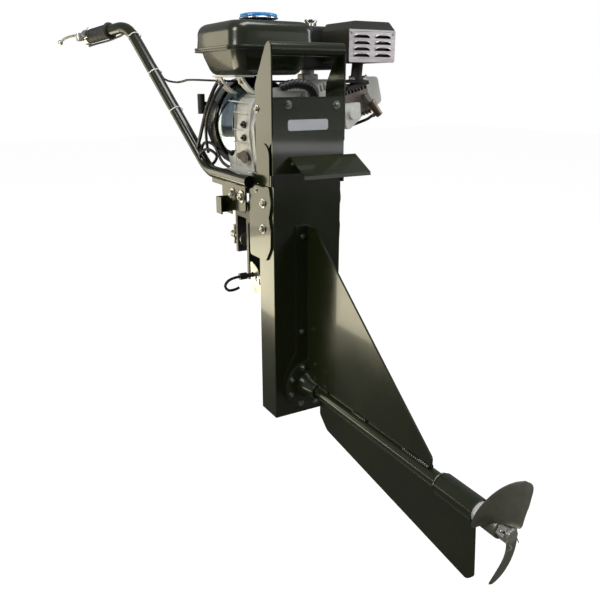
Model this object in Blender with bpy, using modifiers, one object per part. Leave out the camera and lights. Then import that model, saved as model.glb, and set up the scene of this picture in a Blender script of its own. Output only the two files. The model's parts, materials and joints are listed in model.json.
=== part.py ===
"""Small belt-drive outboard motor with a long straight propeller shaft.

A four-stroke engine sits on a bed above a narrow box leg. A belt inside the leg turns the
propeller shaft, which runs straight aft under a fin. The leg steers on a king pin and tilts on a
bolt through the transom clamp.

The origin is on the seat that rests on top of the boat's transom: +Y is forward, +X is to
starboard and +Z is up. Places in the functions are measured from the shaft datum, the point where
the propeller shaft's axis meets the aft face of the leg.
"""

import math

import bmesh
import bpy
from mathutils import Matrix, Vector

# Driving dimensions, in metres.
SHAFT_DATUM = Vector((0.0, -0.230, -0.345))
GAP = 0.0003
SEAT_Y = -SHAFT_DATUM.y
SEAT_Z = -SHAFT_DATUM.z

LEG_HALF_WIDTH = 0.080
LEG_DEPTH = 0.068
LEG_BOTTOM = -0.069
LEG_TOP = 0.600
LEG_WALL = 0.004

CRANK_Z = 0.556
BED_TOP = 0.450
BED_FRONT = 0.306

SHAFT_RADIUS = 0.010
SHAFT_TUBE_RADIUS = 0.0135
SHAFT_TUBE_BORE = 0.0108
SLEEVE_START = -0.450
SLEEVE_END = -0.543
SLEEVE_RADIUS = 0.0215
SHAFT_END = -0.612

DRIVE_PULLEY_RADIUS = 0.033
DRIVEN_PULLEY_RADIUS = 0.048
BELT_THICKNESS = 0.005

PROPELLER_RADIUS = 0.084
PROPELLER_PITCH = 0.142
BLADES = 2
BLADE_TURN = 2.251
BLADE_ROOT = 0.0163
BLADE_CHORD = 0.1015
BLADE_Y = -0.5890

TRANSOM_GAP = 0.050
CLAMP_HALF_WIDTH = 0.046
CLAMP_PLATE = 0.010
BAR_REACH = 0.0200
TILT_Y = 0.185
TILT_Z = 0.375
KING_PIN_Y = 0.140
KING_PIN_RADIUS = 0.010
TRIM_PIN_Y = 0.1815
TRIM_PIN_Z = 0.215

TILLER_X = -0.100
TILLER_RADIUS = 0.0135
TILLER_BEND = Vector((-0.187, 0.565, 0.778))
TILLER_END = Vector((-0.250, 0.735, 0.757))

ROUND = 24
ROUND_SMALL = 12

TURN_TO_AXIS = {
    "X": Matrix.Rotation(math.radians(90), 4, "Y"),
    "Y": Matrix.Rotation(math.radians(-90), 4, "X"),
    "Z": Matrix.Identity(4),
}
PLANE_TO_WORLD = {
    "XY": Matrix.Identity(4),
    "XZ": Matrix.Rotation(math.radians(90), 4, "X"),
    "YZ": Matrix(((0, 0, 1, 0), (1, 0, 0, 0), (0, 1, 0, 0), (0, 0, 0, 1))),
}


def clear_scene():
    for obj in list(bpy.data.objects):
        bpy.data.objects.remove(obj)


def add_collection(name):
    collection = bpy.data.collections.new(name)
    bpy.context.scene.collection.children.link(collection)
    return collection


clear_scene()
PARTS = add_collection("outboard_motor")
CUTTERS = add_collection("cutters")
CUTTERS.hide_render = True


def add_material(name, colour, roughness, metallic):
    material = bpy.data.materials.new(name)
    material.use_nodes = True
    shader = material.node_tree.nodes["Principled BSDF"]
    shader.inputs["Base Color"].default_value = (*colour, 1.0)
    shader.inputs["Roughness"].default_value = roughness
    shader.inputs["Metallic"].default_value = metallic
    return material


GREEN_PAINT = add_material("dark green paint", (0.030, 0.036, 0.020), 0.28, 0.0)
BLACK_PAINT = add_material("black paint", (0.010, 0.010, 0.010), 0.35, 0.0)
ZINC_STEEL = add_material("zinc plated steel", (0.62, 0.60, 0.55), 0.35, 1.0)
CAST_ALUMINIUM = add_material("cast aluminium", (0.60, 0.60, 0.58), 0.45, 1.0)
STAINLESS = add_material("stainless steel", (0.33, 0.34, 0.31), 0.35, 1.0)
MACHINED_STEEL = add_material("machined steel", (0.55, 0.55, 0.55), 0.30, 1.0)
BLACK_RUBBER = add_material("black rubber", (0.012, 0.012, 0.012), 0.75, 0.0)
BLACK_PLASTIC = add_material("black plastic", (0.015, 0.015, 0.015), 0.45, 0.0)
BLUE_ENAMEL = add_material("blue enamel", (0.03, 0.20, 0.45), 0.25, 0.3)
HEAT_STEEL = add_material("heat shield steel", (0.30, 0.27, 0.28), 0.35, 1.0)
BRONZE = add_material("bearing bronze", (0.45, 0.30, 0.12), 0.35, 1.0)
RED_PLASTIC = add_material("red plastic", (0.45, 0.03, 0.02), 0.40, 0.0)


# Each body is an empty on its joint's axis, and its pieces are children of that empty.
BODIES = {}


def add_body(name, pivot, parent=None):
    empty = bpy.data.objects.new(name + "_pivot", None)
    PARTS.objects.link(empty)
    pivot = Vector(pivot)
    if parent is None:
        empty.location = SHAFT_DATUM + pivot
    else:
        holder, holder_pivot = BODIES[parent]
        empty.parent = holder
        empty.location = pivot - holder_pivot
    BODIES[name] = (empty, pivot)


def add_piece(name, body, mesh, material, place, turn=None):
    """Puts a mesh at a place measured from the shaft datum, as a child of its body's empty."""
    piece = bpy.data.objects.new(name, mesh)
    holder, pivot = BODIES[body]
    PARTS.objects.link(piece)
    piece.parent = holder
    piece.location = Vector(place) - pivot
    if turn is not None:
        piece.rotation_euler = turn.to_euler()
    mesh.materials.clear()
    mesh.materials.append(material)
    return piece


def finish_mesh(bm, name):
    mesh = bpy.data.meshes.new(name)
    bm.to_mesh(mesh)
    bm.free()
    mesh.shade_smooth()
    mesh.set_sharp_from_angle(angle=math.radians(35))
    return mesh


def soften(piece, width, segments=2):
    bevel = piece.modifiers.new("rounded edges", "BEVEL")
    bevel.width = width
    bevel.segments = segments
    bevel.limit_method = "ANGLE"
    bevel.angle_limit = math.radians(40)
    return piece


def add_box(name, body, low, high, material, bevel=0.0, segments=1):
    low = Vector(low)
    high = Vector(high)
    bm = bmesh.new()
    bmesh.ops.create_cube(bm, size=1.0, matrix=Matrix.Diagonal((*(high - low), 1.0)))
    piece = add_piece(name, body, finish_mesh(bm, name), material, (low + high) / 2)
    if bevel:
        soften(piece, bevel, segments)
    return piece


def add_rod(name, body, start, end, radius, material, end_radius=None, sides=ROUND):
    """A straight round bar, or a cone, from one point to another."""
    start = Vector(start)
    end = Vector(end)
    along = end - start
    bm = bmesh.new()
    bmesh.ops.create_cone(
        bm,
        cap_ends=True,
        segments=sides,
        radius1=radius,
        radius2=radius if end_radius is None else end_radius,
        depth=along.length,
    )
    turn = along.to_track_quat("Z", "Y").to_matrix().to_4x4()
    return add_piece(name, body, finish_mesh(bm, name), material, (start + end) / 2, turn)


def add_turned(name, body, profile, centre, axis, material, steps=ROUND):
    """A closed profile of (radius, distance along the axis) turned about that axis."""
    bm = bmesh.new()
    points = [bm.verts.new((radius, 0.0, along)) for radius, along in profile]
    for here, after in zip(points, points[1:] + points[:1]):
        bm.edges.new((here, after))
    piece = add_piece(name, body, finish_mesh(bm, name), material, centre, TURN_TO_AXIS[axis])
    screw = piece.modifiers.new("turned", "SCREW")
    screw.axis = "Z"
    screw.steps = steps
    screw.render_steps = steps
    screw.use_merge_vertices = True
    screw.merge_threshold = 0.00001
    return piece


def add_ring(name, body, outer, inner, low, high, centre, axis, material, steps=ROUND):
    profile = [(outer, high), (outer, low), (inner, low), (inner, high)]
    return add_turned(name, body, profile, centre, axis, material, steps)


def rounded(corners, radius, steps=3):
    """The outline with every corner turned into an arc; a corner may carry its own radius."""
    outline = []
    count = len(corners)
    for index, corner in enumerate(corners):
        here = Vector(corner[:2])
        fillet = corner[2] if len(corner) > 2 else radius
        back = Vector(corners[index - 1][:2]) - here
        ahead = Vector(corners[(index + 1) % count][:2]) - here
        half = back.angle(ahead) / 2
        if fillet <= 0.0 or half > math.radians(88):
            outline.append(tuple(here))
            continue
        reach = min(fillet / math.tan(half), 0.49 * back.length, 0.49 * ahead.length)
        fillet = reach * math.tan(half)
        middle = here + (back.normalized() + ahead.normalized()).normalized() * (
            fillet / math.sin(half)
        )
        first = here + back.normalized() * reach - middle
        last = here + ahead.normalized() * reach - middle
        sweep = first.angle_signed(last)
        for step in range(steps + 1):
            angle = -sweep * step / steps
            turned = Matrix.Rotation(angle, 2) @ first
            outline.append(tuple(middle + turned))
    return outline


def circle(centre, radius, sides=ROUND):
    turns = [2 * math.pi * index / sides for index in range(sides)]
    return [(centre[0] + radius * math.cos(a), centre[1] + radius * math.sin(a)) for a in turns]


def add_plate(name, body, plane, outlines, low, high, material):
    """A flat plate: the first outline is its edge and the others are holes in it."""
    curve = bpy.data.curves.new(name, "CURVE")
    curve.dimensions = "2D"
    curve.fill_mode = "BOTH"
    curve.extrude = (high - low) / 2
    for outline in outlines:
        spline = curve.splines.new("POLY")
        spline.points.add(len(outline) - 1)
        for point, (across, up) in zip(spline.points, outline):
            point.co = (across, up, 0.0, 1.0)
        spline.use_cyclic_u = True
    place = {"XY": (0, 0, 1), "XZ": (0, 1, 0), "YZ": (1, 0, 0)}[plane]
    centre = Vector(place) * (low + high) / 2
    mesh = mesh_of_curve(curve, name)
    return add_piece(name, body, mesh, material, centre, PLANE_TO_WORLD[plane])


def add_prism(name, body, outline, low, high, material):
    """An XZ outline with many re-entrant corners and no holes, given its thickness along Y."""
    bm = bmesh.new()
    aft = [bm.verts.new((across, low, up)) for across, up in outline]
    fore = [bm.verts.new((across, high, up)) for across, up in outline]
    bm.faces.new(aft)
    bm.faces.new(fore[::-1])
    for index in range(len(outline)):
        bm.faces.new((aft[index - 1], aft[index], fore[index], fore[index - 1]))
    bmesh.ops.recalc_face_normals(bm, faces=bm.faces)
    return add_piece(name, body, finish_mesh(bm, name), material, (0, 0, 0))


def mesh_of_curve(curve, name):
    """The curve's evaluated mesh, with its loose caps welded to its sides."""
    guide = bpy.data.objects.new(name + "_curve", curve)
    CUTTERS.objects.link(guide)
    graph = bpy.context.evaluated_depsgraph_get()
    mesh = bpy.data.meshes.new_from_object(guide.evaluated_get(graph))
    bpy.data.objects.remove(guide)
    bm = bmesh.new()
    bm.from_mesh(mesh)
    bmesh.ops.remove_doubles(bm, verts=bm.verts, dist=0.000001)
    bmesh.ops.recalc_face_normals(bm, faces=bm.faces)
    bpy.data.meshes.remove(mesh)
    return finish_mesh(bm, name)


def smooth_route(points, spacing):
    """Points at an even spacing on a Catmull-Rom curve through the given points."""
    points = [Vector(point) for point in points]
    ends = [2 * points[0] - points[1]] + points + [2 * points[-1] - points[-2]]
    route = []
    for p0, p1, p2, p3 in zip(ends, ends[1:], ends[2:], ends[3:]):
        steps = max(1, round((p2 - p1).length / spacing))
        for step in range(steps):
            t = step / steps
            bend = 2 * p0 - 5 * p1 + 4 * p2 - p3
            twist = 3 * p1 - p0 - 3 * p2 + p3
            route.append(0.5 * (2 * p1 + (p2 - p0) * t + bend * t * t + twist * t * t * t))
    return route + [points[-1]]


def add_tube(name, body, points, radius, material, resolution=3):
    """A round tube or wire along the points, as a curve with a bevel and filled caps."""
    curve = bpy.data.curves.new(name, "CURVE")
    curve.dimensions = "3D"
    curve.bevel_depth = radius
    curve.bevel_resolution = resolution
    curve.use_fill_caps = True
    spline = curve.splines.new("POLY")
    spline.points.add(len(points) - 1)
    for point, place in zip(spline.points, points):
        point.co = (*place, 1.0)
    return add_piece(name, body, mesh_of_curve(curve, name), material, (0, 0, 0))


def use_as_tool(tool):
    PARTS.objects.unlink(tool)
    CUTTERS.objects.link(tool)
    tool.hide_render = True
    tool.display_type = "WIRE"


def boolean(piece, tool, operation):
    use_as_tool(tool)
    modifier = piece.modifiers.new(operation.lower(), "BOOLEAN")
    modifier.operation = operation
    modifier.solver = "EXACT"
    modifier.object = tool


def cut(piece, *tools):
    for tool in tools:
        boolean(piece, tool, "DIFFERENCE")


def join(piece, *tools):
    for tool in tools:
        boolean(piece, tool, "UNION")


def bore_for(radius, sides=ROUND):
    """The radius of a faceted bore whose flats clear a round bar by the gap."""
    return (radius + GAP) / math.cos(math.pi / sides)


# Bodies: the clamp stays on the boat, the swivel tilts on it, and the motor steers on the swivel.
add_body("clamp", (0, SEAT_Y, SEAT_Z))
add_body("swivel", (0, TILT_Y, TILT_Z), "clamp")
add_body("motor", (0, KING_PIN_Y, 0.350), "swivel")


def make_leg():
    """The leg: a folded sheet box, open at the cover and at both shafts."""
    leg = add_box(
        "leg_casing",
        "motor",
        (-LEG_HALF_WIDTH, 0.0, LEG_BOTTOM),
        (LEG_HALF_WIDTH, LEG_DEPTH, LEG_TOP),
        GREEN_PAINT,
        bevel=0.0015,
    )
    inside = LEG_HALF_WIDTH - LEG_WALL
    hollow = add_box(
        "leg_hollow",
        "motor",
        (-inside, LEG_WALL, LEG_BOTTOM + LEG_WALL),
        (inside, LEG_DEPTH - LEG_WALL, LEG_TOP - LEG_WALL),
        GREEN_PAINT,
    )
    window = add_box(
        "leg_window", "motor", (-0.055, -0.01, 0.505), (0.055, 0.02, 0.585), GREEN_PAINT
    )
    shaft_hole = add_rod("leg_shaft_hole", "motor", (0, -0.01, 0), (0, 0.02, 0), 0.014, GREEN_PAINT)
    crank_hole = add_rod(
        "leg_crank_hole", "motor", (0, 0.05, CRANK_Z), (0, 0.08, CRANK_Z), 0.030, GREEN_PAINT
    )
    cut(leg, hollow, window, shaft_hole, crank_hole)


def make_top_bracket():
    """The cover over the belt's upper end, folded forward on each side into a tall ear."""
    bottom = 0.470
    outer = 0.0845
    inner = LEG_HALF_WIDTH + 0.0008
    panel = add_box(
        "belt_cover", "motor", (-0.0830, -0.0040, bottom), (0.0830, -GAP, 0.617), GREEN_PAINT
    )
    ear = [
        (0.014, bottom, 0.0),
        (0.066, bottom, 0.002),
        (0.066, 0.640, 0.020),
        (0.018, 0.712, 0.006),
        (0.006, 0.7205, 0.010),
        (-0.0042, 0.712, 0.006),
        (-0.0042, 0.532, 0.0),
        (0.004, 0.529, 0.008),
        (0.014, 0.505, 0.010),
    ]
    for side, low in (("left", -outer), ("right", inner)):
        high = low + outer - inner
        plate = add_plate(
            f"ear_{side}", "motor", "YZ", [rounded(ear, 0.002)], low, high, GREEN_PAINT
        )
        join(panel, plate)
    reach = (inner + outer) / 2
    bar = add_rod(
        "carry_bar", "motor", (-reach, 0.006, 0.706), (reach, 0.006, 0.706), 0.0132, GREEN_PAINT
    )
    join(panel, bar)


def make_splash_plate():
    """The plate that turns spray down: a short upright flange and a sloping deck."""
    deck = [
        (-0.0073, 0.474),
        (-0.0043, 0.474),
        (-0.0043, 0.5025),
        (-0.0080, 0.5040),
        (-0.0640, 0.4730),
        (-0.0655, 0.4660),
        (-0.0628, 0.4655),
        (-0.0612, 0.4712),
        (-0.0088, 0.5003),
        (-0.0073, 0.4985),
    ]
    add_plate("splash_plate", "motor", "YZ", [deck], -0.0450, 0.1100, GREEN_PAINT)


def make_steering_bracket():
    """Side plates bolted to the leg, with two shelves that carry the king pin."""
    inner = LEG_HALF_WIDTH + GAP
    outer = LEG_HALF_WIDTH + 0.0043
    side = [
        (0.008, 0.318, 0.020),
        (0.030, 0.288, 0.010),
        (0.105, 0.288, 0.008),
        (0.105, 0.4450, 0.004),
        (0.012, 0.4450, 0.006),
        (0.004, 0.410, 0.030),
        (0.014, 0.382, 0.006),
        (0.006, 0.355, 0.020),
    ]
    shelf = [
        (-inner - 0.001, LEG_DEPTH + GAP),
        (inner + 0.001, LEG_DEPTH + GAP),
        (inner + 0.001, 0.088),
        (0.022, KING_PIN_Y + 0.014, 0.016),
        (-0.022, KING_PIN_Y + 0.014, 0.016),
        (-inner - 0.001, 0.088),
    ]
    hole = circle((0, KING_PIN_Y), bore_for(KING_PIN_RADIUS))
    bracket = add_plate(
        "steering_bracket", "motor", "XY", [rounded(shelf, 0.0), hole], 0.406, 0.412, GREEN_PAINT
    )
    lower = add_plate(
        "bracket_lower_shelf", "motor", "XY", [rounded(shelf, 0.0), hole], 0.291, 0.297, GREEN_PAINT
    )
    left = add_plate(
        "bracket_left", "motor", "YZ", [rounded(side, 0.004)], -outer, -inner, GREEN_PAINT
    )
    right = add_plate(
        "bracket_right", "motor", "YZ", [rounded(side, 0.004)], inner, outer, GREEN_PAINT
    )
    join(bracket, left, right, lower)
    pin = add_rod(
        "king_pin", "motor", (0, KING_PIN_Y, 0.286), (0, KING_PIN_Y, 0.4125), KING_PIN_RADIUS, ZINC_STEEL
    )
    head = add_rod(
        "king_pin_head", "motor", (0, KING_PIN_Y, 0.4123), (0, KING_PIN_Y, 0.4200), 0.015, ZINC_STEEL,
        sides=6,
    )
    join(pin, head)


def make_bed():
    """The engine bed with its two arms beside the leg, and the trim plate hung under its edge."""
    top = BED_TOP - GAP
    inner = LEG_HALF_WIDTH + 0.0005
    outer = 0.0862
    low = top - 0.004
    bed = add_box(
        "engine_bed", "motor", (-0.0855, 0.0685, low), (0.100, BED_FRONT, top), GREEN_PAINT
    )
    webs = (
        ("left", (-0.0857, 0.108, 0.420), (-0.0817, 0.3055, top - 0.001)),
        ("right", (0.0965, 0.069, 0.420), (0.1005, 0.3055, top - 0.001)),
        ("front", (-0.0840, 0.3025, 0.432), (0.0990, 0.3058, top - 0.001)),
        ("arm_left", (-outer, -0.002, 0.4475), (-inner, 0.078, 0.4690)),
        ("arm_right", (inner, -0.002, 0.4475), (outer, 0.078, 0.4690)),
        ("root_left", (-outer, 0.0690, 0.4462), (-inner, 0.0775, 0.4690)),
        ("root_right", (inner, 0.0690, 0.4462), (outer, 0.0775, 0.4690)),
    )
    for label, corner_low, corner_high in webs:
        join(bed, add_box(f"bed_{label}", "motor", corner_low, corner_high, GREEN_PAINT))
    plate = [
        (0.112, 0.380, 0.006),
        (0.236, 0.366, 0.006),
        (0.236, 0.4350, 0.0),
        (0.112, 0.4350, 0.0),
    ]
    tab = add_plate(
        "trim_plate", "motor", "YZ", [rounded(plate, 0.006)], -0.0900, -0.0860, GREEN_PAINT
    )
    cup_outline = [
        (-0.0865, 0.1880),
        (-0.0865, 0.2220),
        (-0.1120, 0.2220),
        (-0.1120, 0.1940),
        (-0.1085, 0.1940),
        (-0.1085, 0.2185),
        (-0.0895, 0.2185),
        (-0.0895, 0.1880),
    ]
    cup = add_plate("trim_cup", "motor", "XY", [cup_outline], 0.3625, 0.4000, GREEN_PAINT)
    join(tab, cup)


def make_tiller():
    """The tiller: a tube along the bed's left edge, up and forward to a level grip."""
    start = Vector((TILLER_X, 0.066, BED_TOP))
    corner = Vector((TILLER_X, 0.285, BED_TOP))
    rise = (TILLER_BEND - corner).normalized()
    reach = (TILLER_END - TILLER_BEND).normalized()
    lower_bend = bend_points(corner, Vector((0, -1, 0)), rise, 0.030)
    upper_bend = bend_points(TILLER_BEND, -rise, reach, 0.040)
    points = [start, *lower_bend, *upper_bend, TILLER_END]
    tiller = add_tube("tiller_tube", "motor", points, TILLER_RADIUS, GREEN_PAINT, resolution=4)
    before = start - Vector((0, 0.01, 0))
    beyond = start + Vector((0, 0.03, 0))
    mouth = add_rod("tiller_mouth", "motor", before, beyond, 0.0115, GREEN_PAINT, sides=18)
    cut(tiller, mouth)
    grip_start = TILLER_END - reach * 0.110
    grip_end = TILLER_END - reach * 0.0205
    grip = add_rod("tiller_grip", "motor", grip_start, grip_end, 0.0180, BLACK_RUBBER, sides=18)
    before = grip_start - reach * 0.01
    beyond = grip_end + reach * 0.01
    bore = add_rod("grip_bore", "motor", before, beyond, 0.0142, BLACK_RUBBER, sides=18)
    cut(grip, bore)
    return rise, reach


def bend_points(corner, towards_start, towards_end, cut_back, steps=6):
    """Points of a smooth bend that leaves one straight run and joins the next."""
    first = corner + towards_start * cut_back
    last = corner + towards_end * cut_back
    return [
        first * (1 - t) ** 2 + corner * 2 * t * (1 - t) + last * t ** 2
        for t in (index / steps for index in range(steps + 1))
    ]


def make_throttle(rise, reach):
    """The throttle lever on its perch at the outer end of the grip."""
    across = reach.cross(Vector((0, 0, 1))).normalized()
    up = across.cross(reach).normalized()
    near = TILLER_END - reach * 0.0200
    far = TILLER_END - reach * 0.0015
    perch = add_rod("lever_perch", "motor", near, far, 0.0190, CAST_ALUMINIUM, sides=18)
    before = near - reach * 0.01
    beyond = far + reach * 0.01
    bore = add_rod("perch_bore", "motor", before, beyond, 0.0142, CAST_ALUMINIUM, sides=18)
    middle = (near + far) / 2
    pivot = middle - across * 0.029
    root = middle - across * 0.0165 - up * 0.0055
    boss = add_rod(
        "perch_boss", "motor", root, pivot - up * 0.0055, 0.0050, CAST_ALUMINIUM, sides=ROUND_SMALL
    )
    pad = add_rod(
        "perch_pad", "motor", pivot - up * 0.0105, pivot, 0.0085, CAST_ALUMINIUM, sides=ROUND_SMALL
    )
    cut(perch, bore)
    join(perch, boss, pad)
    add_body("throttle_lever", pivot, "motor")
    sweep = reach * 0.97 - across * 0.24
    lever_points = smooth_route(
        [
            pivot + up * 0.0040,
            pivot + up * 0.0040 + sweep * 0.030,
            pivot + up * 0.0020 + sweep * 0.055 + across * 0.003,
            pivot - up * 0.0040 + sweep * 0.080 + across * 0.010,
        ],
        0.012,
    )
    lever = add_tube("throttle_lever", "throttle_lever", lever_points, 0.0030, STAINLESS, 2)
    low = pivot + up * 0.0008
    high = pivot + up * 0.0075
    hub = add_rod("lever_hub", "throttle_lever", low, high, 0.0080, STAINLESS, sides=ROUND_SMALL)
    knob = ball("lever_ball", "throttle_lever", lever_points[-1], 0.0065, STAINLESS)
    join(lever, hub, knob)
    return pivot, up, across


def make_cable(rise, reach, up, across):
    """The throttle cable: along the grip and the tiller, then under the tank to the carburettor."""
    beside = TILLER_RADIUS + 0.0032
    corner = Vector((TILLER_X, 0.285, BED_TOP))
    rise_length = (TILLER_BEND - corner).length
    route = [
        TILLER_END - reach * 0.006 - up * 0.0222,
        TILLER_END - reach * 0.040 - up * 0.0215,
        TILLER_END - reach * 0.085 - up * 0.0200 + across * 0.008,
        TILLER_END - reach * 0.125 - up * 0.0150 + across * 0.0155,
        TILLER_BEND + (reach - rise) * 0.010 + across * beside,
        TILLER_BEND - rise * 0.045 + across * beside,
        TILLER_BEND - rise * 0.090 + across * beside,
        corner + rise * rise_length * 0.72 + across * beside,
        corner + rise * rise_length * 0.62 + across * (beside + 0.002),
        Vector((-0.128, 0.390, 0.645)),
        Vector((-0.122, 0.345, 0.650)),
        Vector((-0.113, 0.290, 0.650)),
        Vector((-0.080, 0.228, 0.6480)),
        Vector((0.000, 0.2230, 0.6470)),
        Vector((0.070, 0.2260, 0.6470)),
        Vector((0.100, 0.2360, 0.6440)),
        Vector((0.1170, 0.2400, 0.6420)),
    ]
    add_tube("throttle_cable", "motor", smooth_route(route, 0.030), 0.0025, BLACK_RUBBER, 1)


def ball(name, body, centre, radius, material):
    bm = bmesh.new()
    bmesh.ops.create_uvsphere(bm, u_segments=10, v_segments=6, radius=radius)
    return add_piece(name, body, finish_mesh(bm, name), material, centre)


make_leg()
make_top_bracket()
make_splash_plate()
make_steering_bracket()
make_bed()
RISE, REACH = make_tiller()
LEVER_PIVOT, LEVER_UP, LEVER_ACROSS = make_throttle(RISE, REACH)
make_cable(RISE, REACH, LEVER_UP, LEVER_ACROSS)


def make_shaft_drive():
    """The propeller shaft in its tube, with the bearings at the leg and at the stern."""
    add_body("propeller", (0, 0, 0), "motor")
    flange = [
        (0.0580, -0.0003),
        (0.0580, -0.0075),
        (0.0560, -0.0083),
        (0.0300, -0.0083),
        (0.0190, -0.0500),
        (0.0108, -0.0500),
        (0.0108, -0.0003),
    ]
    add_turned("bearing_flange", "motor", flange, (0, 0, 0), "Y", GREEN_PAINT)
    tube = [
        (SHAFT_TUBE_RADIUS, -0.0503),
        (SHAFT_TUBE_RADIUS, SLEEVE_START),
        (SLEEVE_RADIUS, SLEEVE_START - 0.008),
        (SLEEVE_RADIUS, SLEEVE_END),
        (0.0165, SLEEVE_END),
        (0.0165, -0.4850),
        (SHAFT_TUBE_BORE, -0.4850),
        (SHAFT_TUBE_BORE, -0.0503),
    ]
    add_turned("shaft_tube", "motor", tube, (0, 0, 0), "Y", GREEN_PAINT)
    add_ring("stern_bush", "motor", 0.0161, 0.0104, -0.5425, -0.4855, (0, 0, 0), "Y", BRONZE)
    add_ring("aft_bearing", "motor", 0.0260, 0.0104, 0.0044, 0.0130, (0, 0, 0), "Y", MACHINED_STEEL)
    add_ring(
        "forward_bearing", "motor", 0.0260, 0.0104, 0.0520, 0.0636, (0, 0, 0), "Y", MACHINED_STEEL
    )
    shaft = add_rod(
        "propeller_shaft", "propeller", (0, 0.0600, 0), (0, SHAFT_END, 0), SHAFT_RADIUS, STAINLESS
    )
    pin_middle = Vector((0, -0.6025, 0))
    pin_way = Vector((-math.sin(math.radians(60)), 0, math.cos(math.radians(60))))
    before = pin_middle - pin_way * 0.02
    beyond = pin_middle + pin_way * 0.02
    pin_hole = add_rod("cotter_hole", "propeller", before, beyond, 0.0022, STAINLESS, sides=8)
    cut(shaft, pin_hole)
    nut = add_ring(
        "propeller_nut", "propeller", 0.0155, 0.0103, -0.6070, -0.5928, (0, 0, 0), "Y", STAINLESS, 6
    )
    bore = add_rod("nut_bore", "propeller", (0, -0.58, 0), (0, -0.62, 0), 0.0103, STAINLESS)
    for turn in range(3):
        angle = math.radians(60 * turn)
        slot = add_box(
            "nut_slot", "propeller", (-0.002, -0.610, -0.02), (0.002, -0.5990, 0.02), STAINLESS
        )
        slot.location = Vector((0, -0.6045, 0))
        slot.rotation_euler = (0, angle, 0)
        cut(nut, slot)
    cut(nut, bore)
    low = pin_middle - pin_way * 0.0175
    high = pin_middle + pin_way * 0.0170
    pin = add_rod("cotter_pin", "propeller", low, high, 0.0014, ZINC_STEEL, sides=8)
    eye = ball("cotter_eye", "propeller", pin_middle + pin_way * 0.0180, 0.0028, ZINC_STEEL)
    join(pin, eye)


def make_propeller():
    """Two wide swept blades on a short hub, cast in one piece."""
    hub = add_ring(
        "propeller", "propeller", 0.0180, 0.0104, -0.5925, -0.5560, (0, 0, 0), "Y", STAINLESS
    )
    for blade in range(BLADES):
        turn = 2 * math.pi * blade / BLADES + BLADE_TURN
        join(hub, make_blade(f"blade_{blade}", turn))
    add_ring(
        "thrust_collar", "propeller", 0.0185, 0.0104, -0.5557, -0.5436, (0, 0, 0), "Y", STAINLESS
    )


def make_blade(name, turn):
    """A blade as a grid of chords: each is a helix arc, widest at mid radius and swept back."""
    rows = 10
    across = 8
    bm = bmesh.new()
    sheets = []
    for side in (0.5, -0.5):
        grid = []
        for row in range(rows + 1):
            t = row / rows
            radius = BLADE_ROOT + (PROPELLER_RADIUS - BLADE_ROOT) * t
            slim = max(0.0, 1 - max(0.0, 2 * t - 1) ** 1.6)
            chord = BLADE_CHORD * math.sqrt(slim) * (0.50 + 0.50 * min(1.0, 2 * t))
            chord = max(chord, 0.012)
            pitch_angle = math.atan2(PROPELLER_PITCH, 2 * math.pi * radius)
            thick = 0.0048 * (1 - 0.60 * t)
            line = []
            for column in range(across + 1):
                share = column / across - 0.5
                along = share * chord
                sweep = 0.334 * t + 0.628 * t * t
                angle = turn - sweep + along * math.cos(pitch_angle) / max(radius, 0.020)
                half = thick * side * (1 - (2 * share) ** 2 * 0.85)
                y = BLADE_Y - 0.0146 * t ** 1.5 + along * math.sin(pitch_angle) + half
                line.append(bm.verts.new((radius * math.cos(angle), y, radius * math.sin(angle))))
            grid.append(line)
        sheets.append(grid)
    skin_grid(bm, sheets, rows, across)
    bmesh.ops.recalc_face_normals(bm, faces=bm.faces)
    return add_piece(name, "propeller", finish_mesh(bm, name), STAINLESS, (0, 0, 0))


def skin_grid(bm, sheets, rows, across):
    """Faces over both sheets of a grid and round their shared rim."""
    for grid in sheets:
        for row in range(rows):
            for column in range(across):
                bm.faces.new(
                    (
                        grid[row][column],
                        grid[row + 1][column],
                        grid[row + 1][column + 1],
                        grid[row][column + 1],
                    )
                )
    front, back = sheets
    for row in range(rows):
        for column in (0, across):
            bm.faces.new(
                (
                    front[row][column],
                    front[row + 1][column],
                    back[row + 1][column],
                    back[row][column],
                ),
            )
    for column in range(across):
        for row in (0, rows):
            bm.faces.new(
                (
                    front[row][column],
                    front[row][column + 1],
                    back[row][column + 1],
                    back[row][column],
                ),
            )


def make_fins():
    """The fin over the shaft tube with its bolted flange, and the skeg under it."""
    half = 0.0022
    tube_top = SHAFT_TUBE_RADIUS + GAP
    fin = [
        (-0.0020, 0.0700),
        (-0.0020, 0.3610),
        (-0.028, 0.361, 0.010),
        (-0.426, 0.034, 0.010),
        (-0.426, tube_top),
        (-0.0510, tube_top),
        (-0.0510, 0.0195),
        (-0.0350, 0.0300),
        (-0.0095, 0.0330),
        (-0.0095, 0.0700),
    ]
    fin_piece = add_plate("fin", "motor", "YZ", [rounded(fin, 0.0)], -half, half, GREEN_PAINT)
    flange = add_box(
        "fin_flange", "motor", (-0.0300, -0.0040, 0.068), (half - 0.0003, -GAP, 0.3630), GREEN_PAINT
    )
    join(fin_piece, flange)
    skeg = [
        (-0.0600, -tube_top),
        (-0.0600, -0.050, 0.012),
        (-0.090, -0.076, 0.020),
        (-0.530, -0.139, 0.012),
        (-0.5440, -0.125, 0.010),
        (-0.536, -SLEEVE_RADIUS - GAP),
        (-0.4485, -SLEEVE_RADIUS - GAP),
        (-0.4485, -tube_top),
    ]
    add_plate("skeg", "motor", "YZ", [rounded(skeg, 0.0)], -half, half, GREEN_PAINT)


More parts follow.
